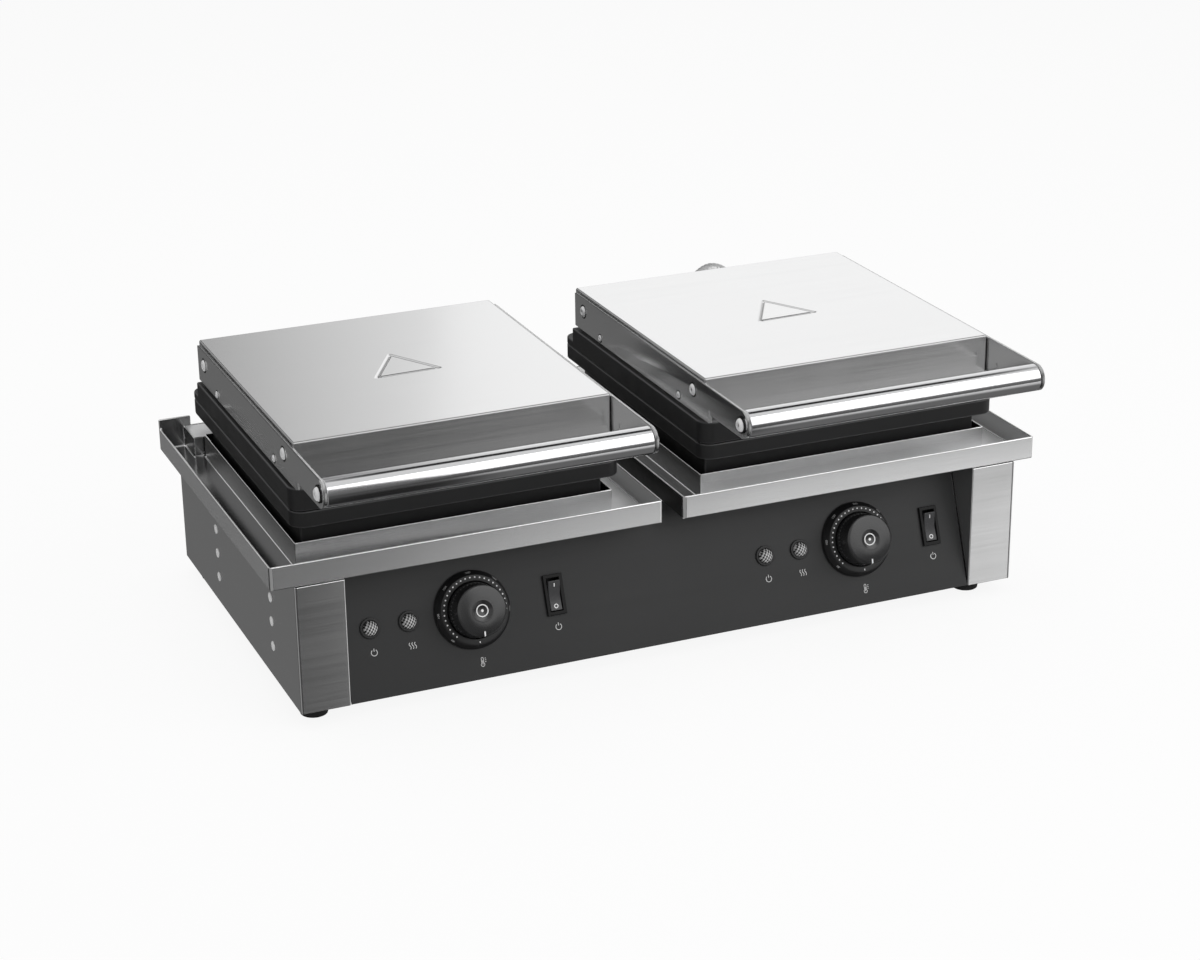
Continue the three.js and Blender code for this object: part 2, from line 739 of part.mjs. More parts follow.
// Domed screw through an arm into the end of the handle
function handleScrew(side) {
  const seat = armOuter + fit;
  const dome = [[0, 0], [screwHeadRadius, 0]];
  for (let i = 1; i < domeRings; i += 1) {
    const angle = (i / domeRings) * Math.PI / 2;
    dome.push([screwHeadRadius * Math.cos(angle), screwHeadHeight * Math.sin(angle)]);
  }
  dome.push([0, screwHeadHeight]);
  const points = dome.map(([radius, out]) => new THREE.Vector2(radius, out));
  const head = new THREE.LatheGeometry(points, lampSides);
  head.rotateZ(-side * Math.PI / 2);
  head.translate(side * seat, handleY, handleZ);
  const shankEnd = coverHalf - screwShankLength + fit;
  const shank = barX(screwShankRadius, side * shankEnd, side * (seat + sheet), handleY, handleZ);
  return solidOf(head).add(shank);
}

// Tubular heater: a loop round the plate with two leads at the back
function heatingElement(z) {
  const shares = [[-1, 1], [-1, -1], [1, -1], [1, 1]];
  const points = [
    new THREE.Vector3(-elementLeadX, elementEndY, z),
    new THREE.Vector3(-elementLeadX, elementRearY, z),
  ];
  for (const [shareX, shareY] of shares) {
    const y = shareY > 0 ? elementRearY : elementFrontY;
    points.push(new THREE.Vector3(shareX * elementHalfX, y, z));
  }
  points.push(new THREE.Vector3(elementLeadX, elementRearY, z));
  points.push(new THREE.Vector3(elementLeadX, elementEndY, z));
  return tubeAlong(roundedPath(points, elementBend), elementRadius, elementSides, elementSteps);
}

// Conduit: out of the cover's rear wall, over in an arch and down into the shelf
function conduit(unitName) {
  const entry = cabinetTop + conduitEntry;
  const crown = cabinetTop + conduitCrowns[unitName];
  const bottom = shelfTop + fit;
  const start = coverBack + fit;
  const arch = (conduitShelfX - conduitLidX) / 2;
  const middle = (conduitShelfX + conduitLidX) / 2;
  const spring = crown - arch;
  const reach = conduitY - start;
  const rise = conduitRadius * conduitRiseShare;
  const points = [
    new THREE.Vector3(conduitLidX, start, entry),
    new THREE.Vector3(conduitLidX, start + conduitRadius, entry),
    new THREE.Vector3(conduitLidX, start + reach * conduitRunShare, entry + rise),
    new THREE.Vector3(middle - arch * conduitShoulderShare, conduitY, spring + arch * conduitNearShare),
    new THREE.Vector3(middle, conduitY, crown),
    new THREE.Vector3(middle + arch * conduitShoulderShare, conduitY, spring + arch * conduitFarShare),
    new THREE.Vector3(conduitShelfX, conduitY, spring),
    new THREE.Vector3(conduitShelfX, conduitY, (spring + bottom) / 2),
    new THREE.Vector3(conduitShelfX, conduitY, bottom + conduitRadius),
    new THREE.Vector3(conduitShelfX, conduitY, bottom),
  ];
  const curve = new THREE.CatmullRomCurve3(points, false, 'centripetal');
  return tubeAlong(curve, conduitRadius, conduitSides, conduitSteps);
}

const waffleMaker = new THREE.Group();
waffleMaker.position.y = -(partFront + partBack) / 2;

waffleMaker.add(piece('left_side_panel', sidePanel(-1), brushed));
waffleMaker.add(piece('right_side_panel', sidePanel(1), brushed));
waffleMaker.add(piece('floor_plate', floorPlate(), brushed));
waffleMaker.add(piece('deck_plate', deckPlate(), brushed));
waffleMaker.add(piece('back_panel', backPanel(), brushed));
waffleMaker.add(piece('cable_gland', cableGland(), blackPlastic));
for (const [endName, sideY] of [['front', -1], ['rear', 1]]) {
  waffleMaker.add(piece(`${endName}_left_foot`, foot(-1, sideY), blackRubber));
  waffleMaker.add(piece(`${endName}_right_foot`, foot(1, sideY), blackRubber));
}

// Everything on the sloped panel stands in the panel's own frame
const slope = new THREE.Group();
slope.position.set(0, cabinetFront, cabinetBottom);
slope.rotation.x = -panelTilt;
waffleMaker.add(slope);
slope.add(piece('control_panel', controlPanel(), darkPanel));

for (const [unitName, side] of [['left', -1], ['right', 1]]) {
  const unitX = side * unitPitch / 2;
  ['power', 'heating'].forEach((use, index) => {
    const x = unitX + lampPlaces[index];
    slope.add(piece(`${unitName}_${use}_lamp_body`, lampBody(x), blackPlastic));
    slope.add(piece(`${unitName}_${use}_lamp_lens`, lampLens(x), greyLens));
  });
  slope.add(piece(`${unitName}_dial_ring`, dialRing(unitX + knobX), blackPlastic));
  slope.add(piece(`${unitName}_knob`, knob(unitX + knobX), blackPlastic));
  slope.add(piece(`${unitName}_thermostat_shaft`, thermostatShaft(unitX + knobX), zinc));
  slope.add(piece(`${unitName}_thermostat`, thermostat(unitX + knobX), zinc));
  slope.add(piece(`${unitName}_switch_housing`, switchHousing(unitX + switchX), blackPlastic));
  const paddle = piece(`${unitName}_switch_rocker`, rocker(), blackPlastic);
  paddle.position.set(unitX + switchX, rockerSink, controlRow);
  paddle.rotation.x = rockerTilt;
  slope.add(paddle);

  const unit = new THREE.Group();
  unit.position.x = unitX;
  waffleMaker.add(unit);
  unit.add(piece(`${unitName}_drip_tray`, dripTray(), brushed));
  unit.add(piece(`${unitName}_lower_plate`, lowerPlate(), castIron));
  unit.add(piece(`${unitName}_lower_element`,
    heatingElement(lowerSlabBottom - fit - elementRadius), zinc));
  unit.add(piece(`${unitName}_upper_plate`, upperPlate(), castIron));
  unit.add(piece(`${unitName}_upper_element`, heatingElement(upperTop + fit + elementRadius), zinc));
  unit.add(piece(`${unitName}_lid_cover`, lidCover(), brushed));
  unit.add(piece(`${unitName}_handle`, handleBar(), polished));
  unit.add(piece(`${unitName}_conduit`, conduit(unitName), zinc));
  for (const [handName, hand] of [['left', -1], ['right', 1]]) {
    unit.add(piece(`${unitName}_lid_${handName}_arm`, lidArm(hand), brushed));
    unit.add(piece(`${unitName}_handle_${handName}_screw`, handleScrew(hand), polished));
    unit.add(piece(`${unitName}_hinge_${handName}_pin`, hingePin(hand), zinc));
  }
}

export default waffleMaker;
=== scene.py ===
import json
import math

import bmesh
import bpy
from mathutils import Matrix, Vector
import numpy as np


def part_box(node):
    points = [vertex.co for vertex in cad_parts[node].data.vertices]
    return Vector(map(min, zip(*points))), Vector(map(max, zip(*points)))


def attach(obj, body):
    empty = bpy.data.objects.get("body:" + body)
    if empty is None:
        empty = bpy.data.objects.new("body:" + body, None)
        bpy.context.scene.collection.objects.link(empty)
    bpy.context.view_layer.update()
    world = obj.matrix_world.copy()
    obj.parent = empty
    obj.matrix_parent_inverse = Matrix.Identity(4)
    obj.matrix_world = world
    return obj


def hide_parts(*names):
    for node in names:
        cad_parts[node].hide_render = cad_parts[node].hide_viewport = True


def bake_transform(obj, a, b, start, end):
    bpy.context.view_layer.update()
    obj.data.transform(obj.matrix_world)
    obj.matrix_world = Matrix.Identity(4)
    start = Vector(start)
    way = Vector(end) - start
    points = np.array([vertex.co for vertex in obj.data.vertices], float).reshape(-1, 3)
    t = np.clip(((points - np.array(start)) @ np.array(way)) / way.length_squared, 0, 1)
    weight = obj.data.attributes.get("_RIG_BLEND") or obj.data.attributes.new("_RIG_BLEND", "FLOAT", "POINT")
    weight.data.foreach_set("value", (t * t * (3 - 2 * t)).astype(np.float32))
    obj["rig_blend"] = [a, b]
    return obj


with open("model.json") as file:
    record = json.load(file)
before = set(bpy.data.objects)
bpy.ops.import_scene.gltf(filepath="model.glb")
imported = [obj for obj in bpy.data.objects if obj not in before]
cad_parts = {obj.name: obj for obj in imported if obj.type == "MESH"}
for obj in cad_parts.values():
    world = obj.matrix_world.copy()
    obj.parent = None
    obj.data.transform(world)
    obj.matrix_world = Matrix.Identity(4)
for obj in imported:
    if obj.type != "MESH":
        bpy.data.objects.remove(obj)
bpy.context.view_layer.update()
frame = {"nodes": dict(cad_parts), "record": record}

bl_info = {
    "name": "Double Waffle Maker",
    "version": (1, 0, 0),
    "blender": (4, 5, 0),
    "location": "View3D > Sidebar > Waffle Maker",
    "description": "Builds the visible pieces of a countertop double waffle maker round its frame",
    "category": "Object",
}

# Sizes are in millimetres, and MM turns them into the frame's metres
MM = 0.001
CLOSE = 0.1 * MM
QUARTER = math.pi / 2
SIDES = {"left": -1, "right": 1}
SLOT_OF = {part["node"]: part["material_slot"] for part in frame["record"]["subparts"]}
BODY_OF = {
    node: body for body, nodes in frame["record"]["behaviour"]["bodies"].items() for node in nodes
}
FASTENER = SLOT_OF["left_handle_left_screw"]

# The sloped panel's own axes: X to the right, Y up the slope, Z out of its face
PANEL_TILT = math.radians(20.6)
PANEL_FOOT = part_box("left_side_panel")[0]
PANEL = Matrix((
    (1, 0, 0, 0),
    (0, math.sin(PANEL_TILT), -math.cos(PANEL_TILT), PANEL_FOOT.y),
    (0, math.cos(PANEL_TILT), math.sin(PANEL_TILT), PANEL_FOOT.z),
    (0, 0, 0, 1),
))

# An outline drawn in (Y, Z) and run along X
ACROSS = Matrix(((0, 0, 1, 0), (1, 0, 0, 0), (0, 1, 0, 0), (0, 0, 0, 1)))


# Properties


class WaffleShape(bpy.types.PropertyGroup):
    """Sizes of the details that the frame leaves to the scene."""

    fold_radius: bpy.props.FloatProperty(
        name="Fold radius", description="Rounding along the folded sheet edges, in millimetres",
        default=0.9, min=0.1, max=2)
    casting_radius: bpy.props.FloatProperty(
        name="Casting radius", description="Rounding along the edges of the cast plates, in millimetres",
        default=1.1, min=0.1, max=2)
    dial_dots: bpy.props.IntProperty(
        name="Dial dots", description="How many dots mark the heating range", default=27, min=3, max=60)
    dial_dot_radius: bpy.props.FloatProperty(
        name="Dial dot radius", description="Radius of one dot, in millimetres",
        default=0.55, min=0.1, max=1)
    rib_pitch: bpy.props.FloatProperty(
        name="Rib pitch", description="Distance between the conduit's ribs, in millimetres",
        default=2.4, min=1, max=6)


class WaffleColours(bpy.types.PropertyGroup):
    """Base colours of the finishes."""

    steel: bpy.props.FloatVectorProperty(
        name="Brushed steel", description="Cabinet, trays and lids", subtype="COLOR",
        size=3, default=(0.94, 0.942, 0.945), min=0, max=1)
    polish: bpy.props.FloatVectorProperty(
        name="Polished steel", description="Handles and screws", subtype="COLOR",
        size=3, default=(0.82, 0.82, 0.83), min=0, max=1)
    casting: bpy.props.FloatVectorProperty(
        name="Cast plates", description="Black coated cast iron", subtype="COLOR",
        size=3, default=(0.012, 0.012, 0.0125), min=0, max=1)
    panel: bpy.props.FloatVectorProperty(
        name="Panel", description="Dark face of the control panel", subtype="COLOR",
        size=3, default=(0.018, 0.0183, 0.0187), min=0, max=1)
    plastic: bpy.props.FloatVectorProperty(
        name="Black plastic", description="Knobs, dials, lamps and switches", subtype="COLOR",
        size=3, default=(0.012, 0.012, 0.0125), min=0, max=1)
    print_ink: bpy.props.FloatVectorProperty(
        name="Print", description="White marks", subtype="COLOR",
        size=3, default=(0.95, 0.95, 0.95), min=0, max=1)
    lens: bpy.props.FloatVectorProperty(
        name="Lamp lens", description="Clear faceted lens over a dark lamp", subtype="COLOR",
        size=3, default=(0.34, 0.34, 0.34), min=0, max=1)


class WaffleStage(bpy.types.PropertyGroup):
    """Light on the object, and the camera."""

    fill: bpy.props.FloatProperty(
        name="Fill", description="Even light from all round", default=0.55, min=0, max=2)
    key: bpy.props.FloatProperty(
        name="Key", description="Power of the large soft lamp, in watts", default=21, min=0, max=200)
    lens: bpy.props.FloatProperty(
        name="Lens", description="Focal length of the camera, in millimetres",
        default=79.23, min=20, max=200)


# Meshes


def ring(bm, radius, height, sides):
    """Vertices round the Z axis at a height, or a single one on the axis."""
    if radius < 1e-6:
        return [bm.verts.new((0, 0, height * MM))]
    angles = [2 * math.pi * i / sides for i in range(sides)]
    r, z = radius * MM, height * MM
    return [bm.verts.new((r * math.cos(a), r * math.sin(a), z)) for a in angles]


def join_rings(bm, first, second):
    """Faces between two neighbouring rings."""
    count = max(len(first), len(second))
    if count == 1:
        return
    for i in range(count):
        j = (i + 1) % count
        corners = [first[i % len(first)], first[j % len(first)]]
        corners += [second[j % len(second)], second[i % len(second)]]
        kept = list(dict.fromkeys(corners))
        if len(kept) > 2:
            bm.faces.new(kept)


def turned(bm, profile, sides=64, closed=False):
    """A turned form about Z. The profile holds (radius, height)."""
    rings = [ring(bm, radius, height, sides) for radius, height in profile]
    for first, second in zip(rings, rings[1:]):
        join_rings(bm, first, second)
    if closed:
        join_rings(bm, rings[-1], rings[0])
    return [vert for one in rings for vert in one]


def bend(start, corner, end, steps):
    """Points on the curve that rounds off a corner between two points."""
    shares = [i / steps for i in range(steps + 1)]
    return [start * (1 - t) ** 2 + corner * 2 * t * (1 - t) + end * t ** 2 for t in shares]


def rounded(points, radii, steps=5):
    """A profile or outline with each inner corner rounded off by its own radius."""
    result = [points[0]]
    for before, corner, after, radius in zip(points, points[1:], points[2:], radii):
        if radius <= 0:
            result.append(corner)
            continue
        spot = Vector(corner)
        to_before, to_after = Vector(before) - spot, Vector(after) - spot
        start = spot + to_before.normalized() * min(radius, to_before.length * 0.5)
        end = spot + to_after.normalized() * min(radius, to_after.length * 0.5)
        result += [tuple(point) for point in bend(start, spot, end, steps)]
    result.append(points[-1])
    return result


def prism(bm, outline, start, end):
    """A closed outline in (X, Y), run from start to end along Z."""
    lower = [bm.verts.new((x * MM, y * MM, start * MM)) for x, y in outline]
    upper = [bm.verts.new((x * MM, y * MM, end * MM)) for x, y in outline]
    bm.faces.new(reversed(lower))
    bm.faces.new(upper)
    join_rings(bm, lower, upper)
    return lower + upper


def arc(centre, radius, start, end, steps):
    """Points on an arc, angles in degrees."""
    angles = [math.radians(start + (end - start) * i / steps) for i in range(steps + 1)]
    return [(centre[0] + radius * math.cos(a), centre[1] + radius * math.sin(a)) for a in angles]


def stroke(bm, points, width, start, end):
    """A printed line of even width along the points."""
    left, right = [], []
    spots = [Vector(point) for point in points]
    for i, spot in enumerate(spots):
        ahead = spots[min(i + 1, len(spots) - 1)] - spots[max(i - 1, 0)]
        normal = Vector((-ahead.y, ahead.x)).normalized() * width / 2
        left.append(tuple(spot + normal))
        right.append(tuple(spot - normal))
    return prism(bm, right + left[::-1], start, end)


def moved(bm, verts, matrix):
    """Places vertices that were made at the origin."""
    bmesh.ops.transform(bm, matrix=matrix, verts=verts)


def at(x, y, z=0):
    return Matrix.Translation(Vector((x, y, z)) * MM)


def add_piece(name, bm, body, slot, *finishes, place=None, replaces=(), sharp=35):
    """Turns a mesh in progress into a piece that rides on a body."""
    bmesh.ops.recalc_face_normals(bm, faces=bm.faces)
    mesh = bpy.data.meshes.new(name)
    bm.to_mesh(mesh)
    bm.free()
    if place is not None:
        mesh.transform(place)
    mesh.shade_smooth()
    mesh.set_sharp_from_angle(angle=math.radians(sharp))
    for finish in finishes:
        mesh.materials.append(finish)
    made = bpy.data.objects.new(name, mesh)
    bpy.context.scene.collection.objects.link(made)
    if body:
        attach(made, body)
    if replaces:
        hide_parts(*replaces)
    return made


def stand_in(node, ending, bm, *finishes, **options):
    """A piece on the node's body that is shown in the node's place."""
    name = f"{node}_{ending}"
    return add_piece(name, bm, BODY_OF[node], SLOT_OF[node], *finishes, replaces=[node], **options)


def detail(name, node, bm, finish, **options):
    """A piece that the scene adds to a node, on its body."""
    return add_piece(name, bm, BODY_OF[node], SLOT_OF[node], finish, **options)


def room_beside(edge):
    """The least width of the two faces beside an edge, which its rounding has to fit into."""
    first, second = (vert.co for vert in edge.verts)
    along = (second - first).normalized()
    widths = [1.0]
    for face in edge.link_faces:
        across = face.normal.cross(along)
        others = [[vert.co for vert in other.verts] for other in face.edges if other is not edge]
        for share in (0.05, 0.3, 0.5, 0.7, 0.95):
            spot = first.lerp(second, share)
            for start, end in others:
                before, after = (start - spot).dot(along), (end - spot).dot(along)
                if before * after < 0:
                    crossing = start.lerp(end, before / (before - after)) - spot
                    widths.append(abs(crossing.dot(across)))
    return min(widths)


def soften_edges(piece, radius, segments=3):
    """Rounds the edges that carry a weight and keeps the flats flat."""
    bevel = piece.modifiers.new("Rounded edges", "BEVEL")
    bevel.limit_method = "WEIGHT"
    bevel.width = radius * MM
    bevel.segments = segments
    bevel.use_clamp_overlap = False
    bevel.harden_normals = True
    # The second finish, where there is one, goes on the rounding: fold and casting edges get a painted
    # highlight there, lid folds and panel edges painted shade.
    if len(piece.data.materials) > 1:
        bevel.material = 1
    shading = piece.modifiers.new("Flat faces", "WEIGHTED_NORMAL")
    shading.keep_sharp = False


def weigh_edges(bm, radius, angle=32, shortest=0, room_share=0.42):
    """Marks each sharp edge with the share of the radius that fits beside it."""
    layers = bm.edges.layers.float
    weights = layers.get("bevel_weight_edge") or layers.new("bevel_weight_edge")
    for edge in bm.edges:
        sharp = len(edge.link_faces) == 2 and edge.calc_face_angle(0) > math.radians(angle)
        if sharp and edge.calc_length() > shortest * MM:
            edge[weights] = min(1, room_share * room_beside(edge) / (radius * MM))


def reach_of(bm):
    """The lowest and the highest place of the vertices along X, Y and Z."""
    return ([pick(vert.co[i] for vert in bm.verts) for i in range(3)] for pick in (min, max))


def round_corners(bm, radius, corner):
    """Gives the two upright edges at the front a larger rounding than the rest."""
    weights = bm.edges.layers.float["bevel_weight_edge"]
    low, high = reach_of(bm)
    for edge in bm.edges:
        first, second = (vert.co for vert in edge.verts)
        edge[weights] *= radius / corner
        upright = abs(first.z - second.z) > 4 * corner * MM
        outermost = min(first.x - low[0], high[0] - first.x) < CLOSE and first.y - low[1] < CLOSE
        if upright and outermost:
            edge[weights] = 1


def copy_of(node):
    """The node's form with its flat faces whole again."""
    gap, flat = 2e-6, math.radians(0.5)
    bm = bmesh.new()
    bm.from_mesh(frame["nodes"][node].data)
    bmesh.ops.remove_doubles(bm, verts=bm.verts, dist=gap)
    bmesh.ops.dissolve_limit(bm, angle_limit=flat, verts=bm.verts, edges=bm.edges)
    return bm


def dressed(node, *finishes, radius=0.4, segments=3, change=None, corner=None, shortest=0):
    """The node's form with rounded edges, in place of the node."""
    bm = copy_of(node)
    if change:
        change(bm)
    weigh_edges(bm, radius, shortest=shortest)
    if corner:
        round_corners(bm, radius, corner)
        radius = corner
    made = stand_in(node, "dressed", bm, *finishes, sharp=180)
    soften_edges(made, radius, segments)
    return made


def reach(node):
    """The two opposite corners of a node's box."""
    return (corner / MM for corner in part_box(node))


def middle(node):
    low, high = reach(node)
    return (low + high) / 2


def seat(node, depth=0):
    """A place on the panel's face, or behind it, in line with the middle of the node."""
    inward = PANEL.inverted()
    spots = [inward @ vert.co / MM for vert in frame["nodes"][node].data.vertices]
    x, y = ((min(spot[i] for spot in spots) + max(spot[i] for spot in spots)) / 2 for i in (0, 1))
    return PANEL @ at(x, y, depth)


# Finishes


def node_tree(name, inputs, outputs):
    """A shader group with its sockets, and what its input node gives."""
    tree = bpy.data.node_groups.new(name, "ShaderNodeTree")
    for label, default in inputs.items():
        socket = tree.interface.new_socket(label, in_out="INPUT", socket_type="NodeSocketFloat")
        socket.default_value = default
    for label in outputs:
        tree.interface.new_socket(label, in_out="OUTPUT", socket_type="NodeSocketFloat")
    return tree, add_node(tree, "NodeGroupInput").outputs


def feed(tree, node, inputs):
    """Links a node's inputs to other sockets, or gives them numbers and colours."""
    for key, value in inputs.items():
        if isinstance(value, bpy.types.NodeSocket):
            tree.links.new(value, node.inputs[key])
        else:
            node.inputs[key].default_value = value


def add_node(tree, kind, inputs=None, **settings):
    """A node with its settings and its inputs."""
    node = tree.nodes.new(kind)
    for name, value in settings.items():
        setattr(node, name, value)
    feed(tree, node, inputs or {})
    return node


def maths(tree, operation, *values):
    """A Math node whose inputs are sockets or numbers."""
    return add_node(tree, "ShaderNodeMath", dict(enumerate(values)), operation=operation).outputs[0]


def times(tree, first, second):
    return maths(tree, "MULTIPLY", first, second)


def plus(tree, first, second):
    return maths(tree, "ADD", first, second)


def noise(tree, vector, scale, octaves, roughness):
    """Soft noise at a place."""
    inputs = {"Vector": vector, "Scale": scale, "Detail": octaves, "Roughness": roughness}
    return add_node(tree, "ShaderNodeTexNoise", inputs).outputs["Fac"]


def place_on(tree):
    """The place on the object."""
    return add_node(tree, "ShaderNodeTexCoord").outputs["Object"]


def shared(build):
    """Lets a shader group be made once and found by its name after that."""
    name = build.__name__.replace("_", " ").title()
    return lambda: bpy.data.node_groups.get(name) or build(name)


@shared
def brushed_grain(name):
    """Fine brushed lines that run along the longer way of each face."""
    tree, given = node_tree(name, {"Along": 6.0, "Across": 900.0}, ["Shade", "Height"])
    place = add_node(tree, "ShaderNodeTexCoord").outputs
    x, y, z = add_node(tree, "ShaderNodeSeparateXYZ", {0: place["Object"]}).outputs
    facing = add_node(tree, "ShaderNodeSeparateXYZ", {0: place["Normal"]}).outputs["X"]
    sideways = maths(tree, "GREATER_THAN", maths(tree, "ABSOLUTE", facing), 0.7)
    shift = times(tree, maths(tree, "SUBTRACT", y, x), sideways)
    run, width = plus(tree, x, shift), maths(tree, "SUBTRACT", y, shift)
    layers = []
    for across_share, along_share, octaves in ((1.0, 1.0, 4), (0.13, 0.35, 2)):
        along = times(tree, given["Along"], along_share)
        across = times(tree, given["Across"], across_share)
        spot = {"X": times(tree, run, along), "Y": times(tree, width, across), "Z": times(tree, z, across)}
        vector = add_node(tree, "ShaderNodeCombineXYZ", spot).outputs[0]
        layers.append(noise(tree, vector, 1.0, octaves, 0.6))
    fine, broad = layers
    mixed = plus(tree, times(tree, fine, 0.6), times(tree, broad, 0.4))
    add_node(tree, "NodeGroupOutput", {"Shade": mixed, "Height": fine})
    return tree


@shared
def handling_marks(name):
    """Soft uneven patches, such as wiped surfaces have."""
    tree, given = node_tree(name, {"Scale": 16.0}, ["Patch"])
    add_node(tree, "NodeGroupOutput", {"Patch": noise(tree, place_on(tree), given["Scale"], 4, 0.55)})
    return tree


@shared
def sandy_skin(name):
    """Fine sandy skin of a casting or a moulding."""
    tree, given = node_tree(name, {"Scale": 900.0}, ["Shade", "Height"])
    place = place_on(tree)
    fine = noise(tree, place, given["Scale"], 3, 0.6)
    broad = noise(tree, place, times(tree, given["Scale"], 0.06), 3, 0.6)
    mixed = plus(tree, times(tree, fine, 0.5), times(tree, broad, 0.5))
    add_node(tree, "NodeGroupOutput", {"Shade": mixed, "Height": fine})
    return tree


@shared
def diamond_facets(name):
    """Two sets of slanting ridges that cross on the lens of a lamp, laid out along the panel. Shade makes
    the ridges lighter than the grooves, painted glints; Height gives them real relief.
    """
    tree, given = node_tree(name, {"Pitch": 1.0}, ["Shade", "Height"])
    place = place_on(tree)
    turns = maths(tree, "DIVIDE", 2 * math.pi / MM, given["Pitch"])
    ridges = []
    for slant in (math.radians(-32), math.radians(50)):
        across = PANEL.to_3x3() @ Vector((math.cos(slant), math.sin(slant), 0))
        along = add_node(tree, "ShaderNodeVectorMath", {0: place, 1: across}, operation="DOT_PRODUCT")
        wave = maths(tree, "SINE", times(tree, along.outputs["Value"], turns))
        ridges.append(maths(tree, "MULTIPLY_ADD", wave, 0.5, 0.5))
    both = plus(tree, times(tree, ridges[0], 0.6), times(tree, ridges[1], 0.4))
    edges = {"Value": both, "From Min": 0.25, "From Max": 0.75}
    crisp = add_node(tree, "ShaderNodeMapRange", edges, interpolation_type="SMOOTHSTEP")
    add_node(tree, "NodeGroupOutput", {"Shade": crisp.outputs["Result"], "Height": both})
    return tree


def finish_of(name, colour, roughness, metallic, effect, effect_inputs, tone=0.12, roughness_swing=0.08,
              bump=0.0, bump_depth=0.02, coat=0.0, specular=0.5, marks=14.0, effect_share=0.65):
    """A Principled material whose colour, roughness and relief follow an effect and handling marks."""
    if name in bpy.data.materials:
        return bpy.data.materials[name]
    made = bpy.data.materials.new(name)
    made.use_nodes = True
    made.diffuse_color = (*colour, 1)
    tree = made.node_tree
    surface = add_node(tree, "ShaderNodeGroup", effect_inputs, node_tree=effect).outputs
    patch = add_node(tree, "ShaderNodeGroup", {"Scale": marks}, node_tree=handling_marks()).outputs["Patch"]
    own, others = times(tree, surface["Shade"], effect_share), times(tree, patch, 1 - effect_share)
    both = plus(tree, own, others)
    darker, lighter = ((*shade(colour, share), 1) for share in (1 - tone, 1 + tone))
    blend = add_node(tree, "ShaderNodeMix", {"Factor": both, "A": darker, "B": lighter}, data_type="RGBA")
    smoothest, roughest = max(roughness - roughness_swing, 0.02), roughness + roughness_swing
    limits = {"From Min": 0.3, "From Max": 0.7, "To Min": smoothest, "To Max": roughest}
    spread = add_node(tree, "ShaderNodeMapRange", {"Value": both, **limits})
    shader = tree.nodes["Principled BSDF"]
    feed(tree, shader, {
        "Base Color": blend.outputs["Result"], "Roughness": spread.outputs["Result"], "Metallic": metallic,
        "Specular IOR Level": specular, "Coat Weight": coat, "Coat Roughness": 0.12,
    })
    if bump:
        inputs = {"Strength": bump, "Distance": bump_depth * MM, "Height": surface["Height"]}
        feed(tree, shader, {"Normal": add_node(tree, "ShaderNodeBump", inputs).outputs["Normal"]})
    return made


def shade(colour, share):
    """A colour made darker or lighter."""
    return tuple(min(channel * share, 1) for channel in colour)


def colours():
    return bpy.context.scene.waffle_colours


def brushed(name, share, roughness, metallic=1.0, colour="steel", along=7.0, across=850.0, **look):
    """A finish with brushed lines, in a share of one of the base colours."""
    tint = shade(getattr(colours(), colour), share)
    lines = {"Along": along, "Across": across}
    return finish_of(name, tint, roughness, metallic, brushed_grain(), lines, **look)


def sandy(name, colour, roughness, scale, metallic=0.0, **look):
    """A finish with a fine sandy skin."""
    return finish_of(name, colour, roughness, metallic, sandy_skin(), {"Scale": scale}, **look)


def brushed_steel():
    return brushed("Brushed steel", 1, 0.18, tone=0.09, roughness_swing=0.05, bump=0.1)


def tray_steel():
    return brushed("Tray steel", 1, 0.16, 0.88, tone=0.05, roughness_swing=0.03, bump=0.06)


# A darker copy of the tray steel on the channel's inner faces: painted shade in the tray's hollow.
def tray_inside():
    return brushed("Tray inside", 0.4, 0.2, tone=0.08, roughness_swing=0.03, bump=0.06)


# A slightly darker copy of the tray steel on the channel's front walls: painted shade below the plates.
def collar_steel():
    return brushed("Collar steel", 0.88, 0.2, 0.9, tone=0.08, roughness_swing=0.03, bump=0.06)


# The rear shelf's finish, which also lies on the right half of each channel floor as a painted highlight.
def shelf_steel():
    return brushed("Shelf steel", 0.95, 0.38, 0.4, tone=0.1, bump=0.06)


# A dark copy of the steel: painted shade on the tray walls by the gap between the trays, and in the strips
# beside the cabinet's front folds.
def gap_steel():
    return brushed("Tray gap side", 0.3, 0.3, tone=0.08, roughness_swing=0.03)


# A lighter, smoother copy of the steel for the rounded folds: a polished edge with a painted highlight.
def steel_fold():
    return brushed("Steel fold", 1.12, 0.2, tone=0.05, roughness_swing=0.04)


# A darker copy of the steel for the lid's rounded folds: a painted shade line along its edges.
def lid_fold():
    return brushed("Lid fold", 0.5, 0.3, tone=0.1, roughness_swing=0.04)


def inner_steel():
    return brushed("Mill steel", 0.8, 0.38, along=20.0, across=300.0, tone=0.12, bump=0.1)


# A near black copy of the steel: painted shade on the deck between and under the trays.
def deck_steel():
    return brushed("Deck steel", 0.16, 0.45, 0.8, along=20.0, across=300.0, tone=0.15, bump=0.1)


def polished_steel():
    return brushed("Polished steel", 1, 0.13, colour="polish", along=3.0, across=1400.0, tone=0.04,
                   roughness_swing=0.02)


def panel_face():
    return brushed("Panel face", 1, 0.42, 0.0, "panel", 9.0, 620.0, tone=0.14, roughness_swing=0.06,
                   bump=0.12)


# A darker copy of the panel paint for its rounded edges: painted shade along them.
def panel_edge():
    return brushed("Panel edge", 0.7, 0.45, 0.0, "panel", 9.0, 620.0, tone=0.1)


# Near white and barely metallic, so the rivet heads stay bright under any light: a painted highlight.
def rivet_steel():
    return sandy("Rivet steel", (0.95, 0.95, 0.95), 0.42, 700.0, 0.05, tone=0.05)


